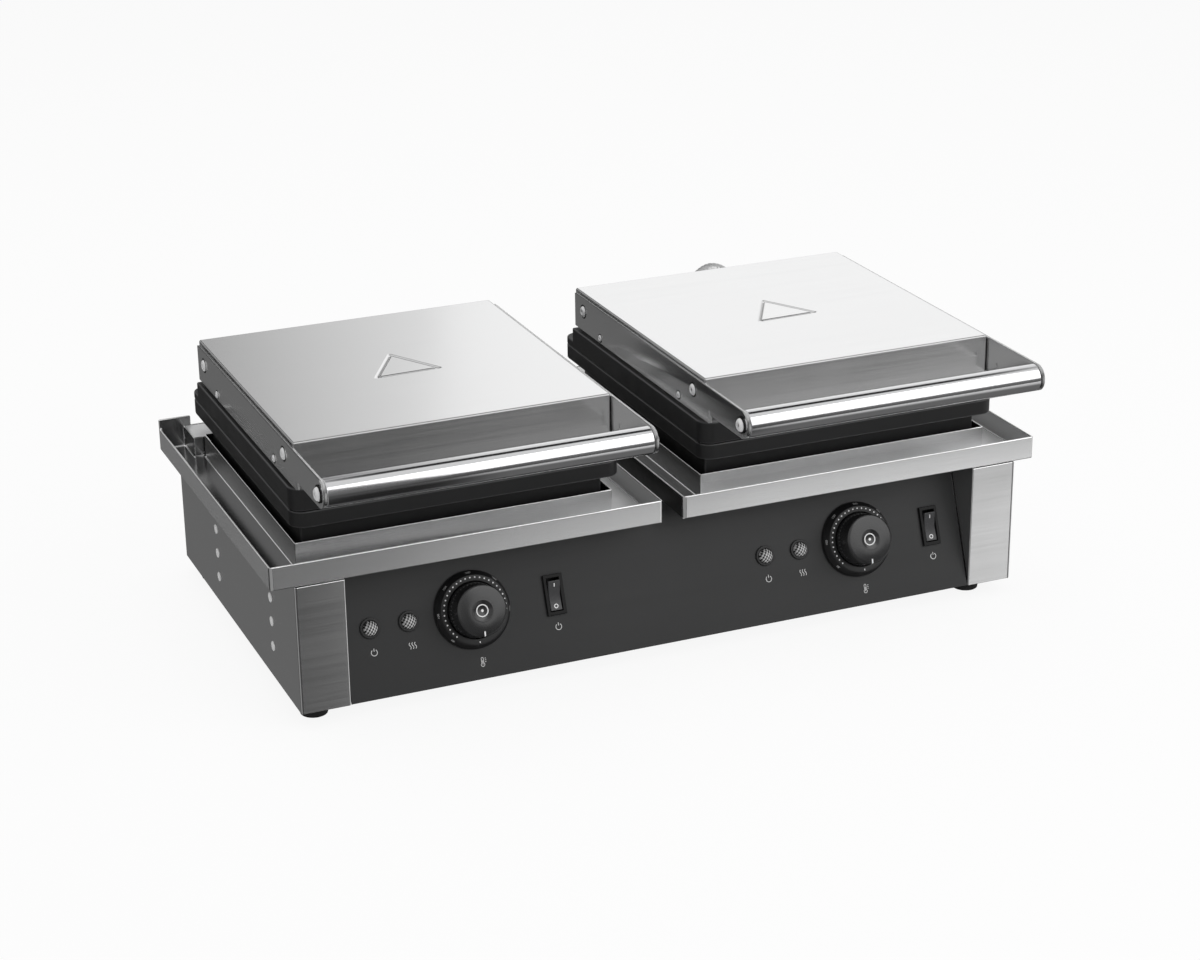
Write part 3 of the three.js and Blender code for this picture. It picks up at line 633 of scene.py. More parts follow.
# Near black, for the rings of painted shadow round screw heads and the discs of painted shade in their
# sockets.
def dark_steel():
    return sandy("Dark steel", (0.012, 0.012, 0.012), 0.6, 700.0, tone=0.2, specular=0.15)


# Light and barely metallic, so screw heads and pins stay bright under any light: a painted highlight.
def screw_steel():
    return sandy("Plated steel", shade(colours().polish, 1.15), 0.32, 700.0, 0.15, tone=0.08, bump=0.05)


def conduit_steel():
    return sandy("Conduit steel", shade(colours().steel, 0.6), 0.42, 500.0, 1.0, tone=0.12, bump=0.1)


def heater_steel():
    return sandy("Heater sheath", (0.16, 0.145, 0.13), 0.45, 260.0, 1.0, tone=0.35, bump=0.2)


def cast_iron():
    return sandy("Coated casting", colours().casting, 0.48, 1100.0, tone=0.3, roughness_swing=0.1,
                 bump=0.35, bump_depth=0.08)


# A lighter, glossier copy of the casting for its rounded edges: worn edges with a painted highlight.
def cast_edge():
    return sandy("Casting edge", shade(colours().casting, 2.5), 0.36, 1100.0, tone=0.3, bump=0.2,
                 bump_depth=0.05, specular=0.6)


def matte_plastic():
    return sandy("Moulded plastic", colours().plastic, 0.4, 1500.0, tone=0.2, roughness_swing=0.07,
                 bump=0.12, bump_depth=0.03)


def frame_plastic():
    return sandy("Frame plastic", shade(colours().plastic, 0.5), 0.34, 1500.0, tone=0.2,
                 roughness_swing=0.05, bump=0.08, specular=0.25)


def knob_plastic():
    return sandy("Knob plastic", shade(colours().plastic, 1.3), 0.24, 1500.0, tone=0.2,
                 roughness_swing=0.05, bump=0.06, specular=0.75)


def rocker_plastic():
    return sandy("Rocker plastic", shade(colours().plastic, 5), 0.24, 1500.0, tone=0.2,
                 roughness_swing=0.06, bump=0.05)


def foot_rubber():
    return sandy("Foot rubber", (0.015, 0.015, 0.015), 0.7, 900.0, tone=0.3, bump=0.3, bump_depth=0.05)


def print_ink():
    return sandy("White print", colours().print_ink, 0.5, 2500.0, tone=0.08)


def faint_ink():
    return sandy("Grey print", shade(colours().print_ink, 0.72), 0.5, 2500.0)


# The ridges' colour runs from near black to light: painted glints on the facets, over their bumps.
def lens_plastic():
    return finish_of("Lamp lens", colours().lens, 0.2, 0.0, diamond_facets(), {"Pitch": 1.8}, tone=0.97,
                     roughness_swing=0.1, bump=0.5, bump_depth=0.25, coat=0.3, marks=60.0, effect_share=0.97)


# Operators


class Maker(bpy.types.Operator):
    """What the operators below have in common."""

    bl_options = {"REGISTER", "UNDO"}


# The columns of rivets on each cabinet side: how far behind its front edge, and the heights above the table
RIVET_COLUMNS = ((196, (69, 50.5, 32)), (60.5, (71, 53.5, 35)))
RIVET_PROFILE = ((0, 0.75), (3.4, 0.45), (3.4, -0.2))


class MakeCabinet(Maker):
    """Folded cabinet sheets with rivet heads on both sides"""

    bl_idname = "waffle.cabinet"
    bl_label = "Cabinet"

    def execute(self, context):
        for node in ("left_side_panel", "right_side_panel", "back_panel"):
            dressed(node, brushed_steel(), steel_fold(), radius=context.scene.waffle_shape.fold_radius)
        dressed("floor_plate", inner_steel(), steel_fold(), radius=0.3)
        dressed("deck_plate", deck_steel(), radius=0.3)
        dressed("control_panel", panel_face(), panel_edge(), radius=0.35, shortest=3)
        for name, side in SIDES.items():
            low, high = reach(f"{name}_side_panel")
            wall = low.x if side < 0 else high.x
            self.make_seam(name, low, high, wall, side)
            self.make_rivets(name, low, wall, side)
        return {"FINISHED"}

    def make_seam(self, name, low, high, wall, side):
        """A thin dark strip of painted shade down the front post, beside its fold."""
        inset, width, sunk, proud = 0.9, 0.8, 0.1, 0.04
        near, far = wall - side * inset, wall - side * (inset + width)
        outline = [(near, low.z), (far, low.z), (far, high.z), (near, high.z)]
        bm = bmesh.new()
        prism(bm, outline, -low.y - sunk, -low.y + proud)
        detail(f"{name}_post_seam", "floor_plate", bm, gap_steel(), place=Matrix.Rotation(QUARTER, 4, "X"))

    def make_rivets(self, name, low, wall, side):
        dome = rounded(RIVET_PROFILE, [1.6], 6)
        turn = Matrix.Rotation(side * QUARTER, 4, "Y")
        bm = bmesh.new()
        for behind, heights in RIVET_COLUMNS:
            for height in heights:
                moved(bm, turned(bm, dome, 28), at(wall, low.y + behind, height) @ turn)
        add_piece(f"{name}_side_rivets", bm, BODY_OF["floor_plate"], FASTENER, rivet_steel())


# Half of a foot, from the recess below to its widest place
FOOT_PROFILE = ((0, 0.6), (3, 0.6), (3.4, 0), (9.3, 0), (10.1, 7.6), (10.5, 8.2))


class MakeFeet(Maker):
    """Rubber feet and the cable gland"""

    bl_idname = "waffle.feet"
    bl_label = "Feet and gland"

    def execute(self, context):
        for end in ("front", "rear"):
            for hand in SIDES:
                node = f"{end}_{hand}_foot"
                centre = middle(node)
                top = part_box(node)[1].z / MM
                bm = bmesh.new()
                points = [*FOOT_PROFILE, (FOOT_PROFILE[-1][0], top), (0, top)]
                turned(bm, rounded(points, [0, 0, 0.8, 0.5, 0.4, 0.8, 0]), 56)
                stand_in(node, "turned", bm, foot_rubber(), place=at(centre.x, centre.y))
        dressed("cable_gland", matte_plastic(), radius=0.5)
        return {"FINISHED"}


# The places of some of the drip trays' finishes among their material slots: the channel, gap and collar
# finishes are painted shade, and the shelf finish also paints a highlight
CHANNEL, GAP, COLLAR, SHELF_AND_HIGHLIGHT = range(2, 6)


def mark_inside(bm):
    """Sets the finishes of a tray's inner faces, and of its wall beside the other tray: darker copies of the
    steel as painted shade, and the shelf finish as a painted highlight on the right of the channel floor.
    """
    lift, shelf_area = 5 * MM, 500 * MM ** 2
    low, high = reach_of(bm)
    inner = min(low[0], high[0], key=abs)
    for face in bm.faces:
        centre, normal = face.calc_center_median(), face.normal
        if abs(centre.x - inner) < CLOSE and abs(normal.x) > 0.5:
            face.material_index = GAP
        outside = any(min(centre[i] - low[i], high[i] - centre[i]) < CLOSE for i in (0, 1))
        upward = normal.z > 0.5
        right = centre.x > (low[0] + high[0]) / 2
        if upward and centre.z > low[2] + lift:
            if face.calc_area() > shelf_area:
                face.material_index = SHELF_AND_HIGHLIGHT
        elif not outside:
            ahead = abs(normal.y) > 0.5 and centre.y < (low[1] + high[1]) / 2
            face.material_index = COLLAR if ahead else CHANNEL
            # The right half of the channel floor takes the shelf finish: a painted highlight.
            if right and upward:
                face.material_index = SHELF_AND_HIGHLIGHT
            # Faces in the left half that look left take the dark gap finish: painted shade.
            if not right and normal.x < -0.5:
                face.material_index = GAP


class MakeTrays(Maker):
    """Drip trays with channel, collar and rear shelf"""

    bl_idname = "waffle.trays"
    bl_label = "Drip trays"

    def execute(self, context):
        # Beside the tray steel: a lighter fold copy as painted highlight, darker copies as painted shade in
        # the channel, by the gap and on the collar, and the shelf finish, which also paints a highlight.
        finishes = tray_steel(), steel_fold(), tray_inside(), gap_steel(), collar_steel(), shelf_steel()
        for unit in SIDES:
            dressed(f"{unit}_drip_tray", *finishes, radius=context.scene.waffle_shape.fold_radius,
                    corner=2.6, segments=4, change=mark_inside)
        return {"FINISHED"}


class MakePlates(Maker):
    """Cast waffle plates, their heaters and hinge pins"""

    bl_idname = "waffle.plates"
    bl_label = "Cast plates"

    def execute(self, context):
        radius = context.scene.waffle_shape.casting_radius
        for unit in SIDES:
            for level in ("lower", "upper"):
                dressed(f"{unit}_{level}_plate", cast_iron(), cast_edge(), radius=radius)
                node = f"{unit}_{level}_element"
                stand_in(node, "smooth", copy_of(node), heater_steel(), sharp=70)
            for hand in SIDES:
                dressed(f"{unit}_hinge_{hand}_pin", screw_steel(), radius=0.5)
        return {"FINISHED"}


# The embossed triangle on each lid, seen from above, from the middle of the unit
TRIANGLE = ((2.5, 38), (-23.5, -8), (27, -6))

# The section of its bead: how far inside the triangle, how high, and the rounding of the corners
BEAD = (
    (-0.7, 0, 3.9), (-0.3, 0, 3.6), (0.3, -0.35, 3.2), (1.0, -0.8, 2.8), (1.7, -0.8, 2.4), (2.4, -0.35, 2.0),
    (3.0, 0, 1.7), (3.4, 0, 1.5),
)


def rounded_triangle(points, inset, radius):
    """The triangle's outline moved in by an inset, with rounded corners."""
    spots = [Vector(point) for point in points]
    centre = sum(spots, Vector((0, 0))) / 3
    sides = []
    for a, b in zip(spots, spots[1:] + spots[:1]):
        along = (b - a).normalized()
        inward = Vector((-along.y, along.x))
        if inward.dot(centre - a) < 0:
            inward.negate()
        sides.append((a + inward * inset, along))
    corners = []
    for (p, u), (q, v) in zip(sides[-1:] + sides[:-1], sides):
        share = ((q - p).x * v.y - (q - p).y * v.x) / (u.x * v.y - u.y * v.x)
        corners.append(p + u * share)
    outline = []
    for before, corner, after in zip(corners[-1:] + corners[:-1], corners, corners[1:] + corners[:1]):
        start = corner + (before - corner).normalized() * radius
        end = corner + (after - corner).normalized() * radius
        outline += bend(start, corner, end, 6)
    return outline


def emboss_top(points):
    """A change to a lid cover that presses a triangular bead into its top."""

    def change(bm):
        top = max(bm.faces, key=lambda face: (round(face.calc_center_median().z, 5), face.calc_area()))
        height = top.calc_center_median().z
        rim = list(top.edges)
        bmesh.ops.delete(bm, geom=[top], context="FACES_ONLY")
        loops = []
        for inset, rise, radius in BEAD:
            outline = rounded_triangle(points, inset, radius)
            loops.append([bm.verts.new((x * MM, y * MM, height + rise * MM)) for x, y in outline])
        for first, second in zip(loops, loops[1:]):
            join_rings(bm, first, second)
        bm.faces.new(loops[-1])
        outer = [bm.edges.get((a, b)) for a, b in zip(loops[0], loops[0][1:] + loops[0][:1])]
        bmesh.ops.triangle_fill(bm, use_beauty=True, use_dissolve=False, edges=rim + outer)
        bmesh.ops.recalc_face_normals(bm, faces=bm.faces)

    return change


# The screws on the outside of each arm: how far ahead of its rear end, how far below its top, and the radius
ARM_SCREWS = ((16.2, 10.2, 4.2), (48, 21.7, 2.6), (187.2, 20.8, 2.6), (210.6, 9.3, 4.2))

# Half of a screw's head, from the middle outwards, and the rounding of its corners, in shares of the radius
HEAD_SHARES = ((0, 0.14), (0.36, 0.14), (0.42, 0.4), (0.8, 0.3), (1, 0.05), (1, -0.02))
HEAD_ROUNDING_SHARES = (0, 0.1, 0.3, 0.05)
# A dark disc of painted shade in the socket, and the reach of a dark ring of painted shadow round the head
SOCKET_SHADE_SHARES = ((0, 0.16), (0.34, 0.16), (0.34, 0.1))
SHADOW_RING_SHARE = 1.28

# Half of the screw at each end of a handle, a dark disc of painted shade in its socket and a dark ring of
# painted shadow round it
HANDLE_SCREW = (
    (0, 1.2), (1.9, 1.2), (2.2, 2.8), (3.7, 2.4), (4.7, 0.8), (4.7, 0), (3, 0), (3, -12), (0, -12),
)
HANDLE_SOCKET_SHADE = ((0, 1.28), (1.85, 1.28), (1.85, 1.1))
HANDLE_SHADOW_RING = ((0, 0.5), (6, 0.5), (6, 0))


class MakeLids(Maker):
    """Lid covers with an embossed triangle, side arms with their screws, and handles"""

    bl_idname = "waffle.lids"
    bl_label = "Lids"

    def execute(self, context):
        for unit in SIDES:
            centre = middle(f"{unit}_drip_tray").x
            emboss = emboss_top([(centre + x, y) for x, y in TRIANGLE])
            dressed(f"{unit}_lid_cover", brushed_steel(), lid_fold(), radius=1.3, segments=4, change=emboss)
            self.make_arms(unit)
            self.make_handle(unit)
        return {"FINISHED"}

    def make_arms(self, unit):
        nose, nose_length, slit, slit_height = 9.5, 60.3, 2.3, 3
        for hand, side in SIDES.items():
            node = f"{unit}_lid_{hand}_arm"
            low, high = reach(node)
            step, neck = low.y + nose_length, high.z - 2 * nose
            outline = [(high.y, low.z), (high.y, high.z)]
            outline += arc((low.y + nose, high.z - nose), nose, 90, 270, 28)
            outline.append((step - slit, neck))
            outline += arc((step - slit / 2, neck + slit_height), slit / 2, 180, 0, 8)
            outline.append((step, low.z))
            bm = bmesh.new()
            prism(bm, outline, low.x, high.x)
            weigh_edges(bm, 0.5, 60)
            made = stand_in(node, "dressed", bm, brushed_steel(), steel_fold(), place=ACROSS, sharp=60)
            soften_edges(made, 0.5)
            outer = low.x if side < 0 else high.x
            self.make_screws(unit, hand, Vector((outer, high.y, high.z)), side)

    def make_screws(self, unit, hand, corner, side):
        """Screw heads, with near black rings of painted shadow round them and discs of painted shade in
        their sockets, placed from the arm's top rear corner.
        """
        heads, shade_rings = bmesh.new(), bmesh.new()
        turn = Matrix.Rotation(side * QUARTER, 4, "Y")
        for ahead, below, size in ARM_SCREWS:
            place = at(corner.x, corner.y - ahead, corner.z - below) @ turn
            head, socket_shade = ([(r * size, h * size) for r, h in shares] for shares in (HEAD_SHARES, SOCKET_SHADE_SHARES))
            head = rounded(head, [share * size for share in HEAD_ROUNDING_SHARES], 6)
            # A thin near black ring round the head: painted shadow.
            rim = [(0, 0.08), (SHADOW_RING_SHARE * size, 0.08), (SHADOW_RING_SHARE * size, -0.05)]
            moved(heads, turned(heads, head, 36), place)
            moved(shade_rings, turned(shade_rings, rim, 36), place)
            moved(shade_rings, turned(shade_rings, socket_shade, 20), place)
        body = BODY_OF[f"{unit}_lid_{hand}_arm"]
        add_piece(f"{unit}_{hand}_arm_screws", heads, body, FASTENER, screw_steel(), sharp=50)
        add_piece(f"{unit}_{hand}_arm_washers", shade_rings, body, FASTENER, dark_steel())

    def make_handle(self, unit):
        node = f"{unit}_handle"
        low, high = reach(node)
        centre = (low + high) / 2
        radius, half = (high.z - low.z) / 2, (high.x - low.x) / 2
        bm = bmesh.new()
        points = [(0, -half), (radius, -half), (radius, half), (0, half)]
        turned(bm, rounded(points, [0.6, 0.6], 4), 96)
        place = at(*centre) @ Matrix.Rotation(QUARTER, 4, "Y")
        stand_in(node, "bar", bm, polished_steel(), place=place)
        for hand, side in SIDES.items():
            node = f"{unit}_handle_{hand}_screw"
            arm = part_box(f"{unit}_lid_{hand}_arm")[0 if side < 0 else 1].x / MM
            place = at(arm + side * 0.3, centre.y, centre.z) @ Matrix.Rotation(side * QUARTER, 4, "Y")
            bm = bmesh.new()
            turned(bm, rounded(HANDLE_SCREW, [0, 0.3, 1.2, 0.5, 0, 0, 0]), 48)
            stand_in(node, "domed", bm, screw_steel(), place=place)
            # Dark disc and ring: painted shade in the socket and painted shadow round the screw.
            bm = bmesh.new()
            turned(bm, HANDLE_SOCKET_SHADE, 24)
            turned(bm, rounded(HANDLE_SHADOW_RING, [0.3], 4), 48)
            detail(f"{node}_washer", node, bm, dark_steel(), place=place)


def smooth_path(points, spacing, steps=24):
    """Evenly spaced points on a centripetal curve through the given ones."""
    spots = [Vector(point) for point in points]
    spots = [spots[0] * 2 - spots[1]] + spots + [spots[-1] * 2 - spots[-2]]
    dense = []
    for row in zip(spots, spots[1:], spots[2:], spots[3:]):
        knots = [0.0]
        for p, q in zip(row, row[1:]):
            knots.append(knots[-1] + (q - p).length ** 0.5)
        levels = [list(zip(knots, knots[1:])), list(zip(knots, knots[2:])), [(knots[1], knots[2])]]
        for i in range(steps):
            t = knots[1] + (knots[2] - knots[1]) * i / steps
            blend = row
            for spans in levels:
                blend = [
                    blend[k] * ((end - t) / (end - start)) + blend[k + 1] * ((t - start) / (end - start))
                    for k, (start, end) in enumerate(spans)
                ]
            dense.append(blend[0])
    dense.append(spots[-2])
    total = sum((q - p).length for p, q in zip(dense, dense[1:]))
    count = max(int(total / spacing), 2)
    result, walked, target = [dense[0]], 0.0, total / count
    for p, q in zip(dense, dense[1:]):
        length = (q - p).length
        while walked + length >= target * len(result) - 1e-9 and len(result) < count:
            result.append(p.lerp(q, (target * len(result) - walked) / length))
        walked += length
    result.append(dense[-1])
    return result


# The conduits: their radius, that of their ribs, and how deep it is between two ribs
CONDUIT_RADIUS, RIB_RADIUS, RIB_DEPTH = 5.5, 5.4, 0.22
CONDUIT_SIDES, RIB_STEPS = 24, 6


class MakeConduits(Maker):
    """Ribbed conduits between the lids and the trays' rear shelves"""

    bl_idname = "waffle.conduits"
    bl_label = "Conduits"

    def execute(self, context):
        for unit, crown_rise in (("left", 8.5), ("right", 14.5)):
            path = self.route(unit, crown_rise, context.scene.waffle_shape.rib_pitch / RIB_STEPS)
            node = f"{unit}_conduit"
            angles = [2 * math.pi * k / CONDUIT_SIDES for k in range(CONDUIT_SIDES)]
            bm = bmesh.new()
            rings, side = [], Vector((1, 0, 0))
            for i, spot in enumerate(path):
                ahead = (path[min(i + 1, len(path) - 1)] - path[max(i - 1, 0)]).normalized()
                side = (side - ahead * side.dot(ahead)).normalized()
                up = ahead.cross(side)
                groove = (0.5 - 0.5 * math.cos(2 * math.pi * i / RIB_STEPS)) ** 1.5
                swell = RIB_RADIUS - RIB_DEPTH * groove
                ways = [side * math.cos(a) + up * math.sin(a) for a in angles]
                rings.append([bm.verts.new((spot + way * swell) * MM) for way in ways])
            for first, second in zip(rings, rings[1:]):
                join_rings(bm, first, second)
            bm.faces.new(rings[0])
            bm.faces.new(rings[-1])
            made = add_piece(f"{node}_ribbed", bm, None, SLOT_OF[node], conduit_steel(), replaces=[node],
                             sharp=60)
            start, end = (tuple(path[i] * MM) for i in (0, -1))
            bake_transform(made, f"{unit}_lid", BODY_OF[node], start=start, end=end)
        return {"FINISHED"}

    def route(self, unit, crown_rise, spacing):
        """Points from the back of the lid, up over an arch and down to the shelf."""
        lid_x, shelf_x, shelf_inset, entry_depth, gap = -4.8, 27.3, 7.6, 22.3, 0.3
        run_share, entry_share, up_share, down_share = 0.72, 0.4, 0.6, 0.69
        radius = CONDUIT_RADIUS
        centre = middle(f"{unit}_drip_tray").x
        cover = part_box(f"{unit}_lid_cover")[1] / MM
        start, entry = cover.y + gap, cover.z - entry_depth
        shelf_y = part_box(f"{unit}_drip_tray")[1].y / MM - shelf_inset
        bottom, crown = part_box(f"{unit}_conduit")[0].z / MM, entry + crown_rise
        arch, half = (shelf_x - lid_x) / 2, (shelf_x + lid_x) / 2
        spring, run = crown - arch, shelf_y - start
        points = [
            (lid_x, start, entry), (lid_x, start + radius, entry),
            (lid_x, start + run * run_share, entry + radius * entry_share),
            (half - arch * run_share, shelf_y, spring + arch * up_share), (half, shelf_y, crown),
            (half + arch * run_share, shelf_y, spring + arch * down_share), (shelf_x, shelf_y, spring),
            (shelf_x, shelf_y, (spring + bottom) / 2), (shelf_x, shelf_y, bottom + radius),
            (shelf_x, shelf_y, bottom),
        ]
        return smooth_path([(x + centre, y, z) for x, y, z in points], spacing)


# The dials: heights of the top and the outer edge, radii of that edge, the flat top, the bore and the dots
DIAL_TOP, DIAL_EDGE_HEIGHT = 7.5, 2.2
DIAL_EDGE, DIAL_SHOULDER, DIAL_BORE, DIAL_ROW = 26.8, 23.9, 19.6, 22.1

# The turn from dot to dot and the direction of the first one, in degrees, and the dot that each number is at
DIAL_STEP = 8.93
DIAL_START = {"left": -135, "right": -138.7}
DIAL_NUMBERS = {"50": 0, "100": 5, "150": 10, "200": 15, "250": 20, "300": 26}

# Half of a knob: bore and skirt up to the rim of its cap, and the rim. The cap's grooves follow
KNOB_SKIRT = ((0, 17.6), (3.3, 17.6), (3.3, 4), (19, 4), (19, 7.5), (17.5, 21.9))
KNOB_RIM = ((17.3, 22.1), (16.7, 22.55), (15.6, 22.85))
KNOB_FLOOR, KNOB_CROWN, KNOB_GROOVES = 22, 23.6, 8

# The pointer over the knob's rim, as (Y, Z), and its section, as (X, Z)
POINTER_LINE = ((-13.9, 23.2), (-14.8, 23.1), (-15.6, 22.97), (-16.7, 22.65), (-17.2, 22.3))
POINTER_SECTION = ((-1.2, 0), (-0.2, 0), (-0.2, -0.5), (-1.2, -0.5))


class MakeDials(Maker):
    """Dial rings with their markings, and knobs with their shafts"""

    bl_idname = "waffle.dials"
    bl_label = "Dials and knobs"

    def execute(self, context):
        for unit in SIDES:
            place = seat(f"{unit}_dial_ring")
            self.make_ring(unit, place, context.scene.waffle_shape)
            self.make_knob(unit, place)
            node = f"{unit}_thermostat"
            dressed(node, inner_steel(), radius=0.8)
            dressed(f"{node}_shaft", screw_steel(), radius=0.3)
        return {"FINISHED"}

    def make_ring(self, unit, place, shape):
        node = f"{unit}_dial_ring"
        seating, ink = 0.3, 0.05
        bm = bmesh.new()
        points = [(DIAL_BORE, seating), (DIAL_EDGE, seating), (DIAL_EDGE, DIAL_EDGE_HEIGHT),
                  (DIAL_SHOULDER, DIAL_TOP), (DIAL_BORE, DIAL_TOP), (DIAL_BORE, seating)]
        turned(bm, rounded(points, [0.4, 0.6, 0.8, 0.4])[:-1], 128, closed=True)
        stand_in(node, "turned", bm, matte_plastic(), place=place)
        dot, first = shape.dial_dot_radius, DIAL_START[unit]
        above, below = DIAL_TOP + ink, DIAL_TOP - ink
        bm = bmesh.new()
        for i in range(shape.dial_dots):
            spot = Vector((DIAL_ROW, 0)) @ Matrix.Rotation(math.radians(DIAL_STEP * i - first), 2)
            moved(bm, turned(bm, [(0, above), (dot, above), (dot, below), (0, below)], 14), at(*spot))
        stroke(bm, [(0, -22.5), (0, -21.3)], 0.7, below, above)
        detail(f"{unit}_dial_dots", node, bm, print_ink(), place=place)
        tilt = math.atan2(DIAL_TOP - DIAL_EDGE_HEIGHT, DIAL_EDGE - DIAL_SHOULDER)
        radius, height = (DIAL_EDGE + DIAL_SHOULDER) / 2 + 0.05, (DIAL_TOP + DIAL_EDGE_HEIGHT) / 2 + 0.03
        for text, mark in DIAL_NUMBERS.items():
            turn = Matrix.Rotation(math.radians(first - DIAL_STEP * mark - 90), 4, "Z")
            spot = turn @ at(0, radius, height) @ Matrix.Rotation(-tilt, 4, "X")
            self.write(f"{unit}_dial_number_{text}", text, node, place @ spot)

    def write(self, name, text, node, place):
        """One printed number."""
        curve = bpy.data.curves.new(name, "FONT")
        curve.body = text
        curve.size = 2.5 * MM
        curve.extrude = 0.03 * MM
        curve.align_x, curve.align_y = "CENTER", "CENTER"
        source = bpy.data.objects.new(name, curve)
        bpy.context.scene.collection.objects.link(source)
        mesh = bpy.data.meshes.new_from_object(source.evaluated_get(bpy.context.evaluated_depsgraph_get()))
        bpy.data.objects.remove(source)
        bm = bmesh.new()
        bm.from_mesh(mesh)
        detail(name, node, bm, faint_ink(), place=place)

    def make_knob(self, unit, place):
        node = f"{unit}_knob"
        floor, crown = KNOB_FLOOR, KNOB_CROWN
        radius, height = KNOB_RIM[-1]
        cap_width, cap_rise, groove = 7.9, 0.7, 0.05
        cap = []
        for i in range(1, 2 * KNOB_GROOVES):
            share = i / (2 * KNOB_GROOVES)
            lift = cap_rise * math.sin(share * QUARTER) - groove * (i % 2)
            cap.append((radius - cap_width * share, height + lift))
        dish = [(7.5, crown - 0.05), (7.1, crown), (6.8, crown - 0.1), (4.7, floor), (0, floor)]
        bm = bmesh.new()
        turned(bm, [*rounded(KNOB_SKIRT, [0, 0, 0.6, 1.2]), *KNOB_RIM, *cap, *dish], 128)
        stand_in(node, "turned", bm, knob_plastic(), place=place, sharp=60)
        bm = bmesh.new()
        band = [(3.55, floor), (3.65, floor + 0.35), (4.3, floor + 0.35), (4.4, floor)]
        turned(bm, band, 56, closed=True)
        turned(bm, [(0, floor + 0.3), (0.9, floor + 0.3), (1.0, floor), (0, floor)], 24)
        detail(f"{unit}_knob_ring", node, bm, print_ink(), place=place)
        bm = bmesh.new()
        rows = []
        for y, z in POINTER_LINE:
            rows.append([bm.verts.new((x * MM, y * MM, (z + lift) * MM)) for x, lift in POINTER_SECTION])
        for first, second in zip(rows, rows[1:]):
            join_rings(bm, first, second)
        bm.faces.new(rows[0])
        bm.faces.new(rows[-1])
        detail(f"{unit}_knob_pointer", node, bm, print_ink(), place=place)


# Half of a lamp's bezel and stem, and its lens: a flat base and a dome
BEZEL_PROFILE = ((0, -22), (6, -22), (6, 0.3), (7.1, 0.3), (7.1, 1.4), (5.3, 1.4), (5.3, -1.6), (0, -1.6))
LENS_RADIUS, LENS_HEIGHT, LENS_FOOT, LENS_BASE, LENS_RINGS = 5, 4.6, -1.3, 1.4, 18


class MakeLamps(Maker):
    """Signal lamps: bezel and faceted lens"""

    bl_idname = "waffle.lamps"
    bl_label = "Signal lamps"

    def execute(self, context):
        quarter = [QUARTER * i / LENS_RINGS for i in range(LENS_RINGS)]
        dome = [(LENS_RADIUS * math.cos(a), LENS_BASE + LENS_HEIGHT * math.sin(a)) for a in quarter]
        dome = [(0, LENS_FOOT), (LENS_RADIUS, LENS_FOOT), *dome, (0, LENS_BASE + LENS_HEIGHT)]
        for unit in SIDES:
            for use in ("power", "heating"):
                lamp = f"{unit}_{use}_lamp"
                place = seat(f"{lamp}_body")
                bm = bmesh.new()
                turned(bm, rounded(BEZEL_PROFILE, [0.6, 0, 0, 0.5, 0.25, 0]), 64)
                detail(f"{lamp}_bezel", f"{lamp}_body", bm, matte_plastic(), place=place,
                       replaces=[f"{lamp}_body"])
                bm = bmesh.new()
                turned(bm, dome, 72)
                stand_in(f"{lamp}_lens", "faceted", bm, lens_plastic(), place=place, sharp=50)
        return {"FINISHED"}


class MakeSwitches(Maker):
    """Rocker switches in their frames"""

    bl_idname = "waffle.switches"
    bl_label = "Switches"

    def execute(self, context):
        dip, horn, half, mark, pivot_depth = 2.4, 4.5, 10.6, 7.4, -1.5
        sunk, ink = -0.1, 0.05
        tip = Matrix.Rotation(math.radians(8), 4, "X")
        slope = math.atan2(horn - dip, half)
        height = dip + mark * math.tan(slope)
        for unit in SIDES:
            node = f"{unit}_switch_rocker"
            dressed(f"{unit}_switch_housing", frame_plastic(), radius=0.5)
            dressed(node, rocker_plastic(), radius=0.7, segments=4)
            pivot = seat(f"{unit}_switch_housing", pivot_depth) @ tip
            bm = bmesh.new()
            circle = turned(bm, [(0.95, ink), (1.6, ink), (1.6, sunk), (0.95, sunk)], 32, closed=True)
            moved(bm, circle, at(0, -mark, height) @ Matrix.Rotation(-slope, 4, "X"))
            bar = stroke(bm, [(0, -1.3), (0, 1.3)], 0.6, sunk, ink)
            moved(bm, bar, at(0, mark, height) @ Matrix.Rotation(slope, 4, "X"))
            detail(f"{unit}_switch_marks", node, bm, print_ink(), place=pivot)
        return {"FINISHED"}


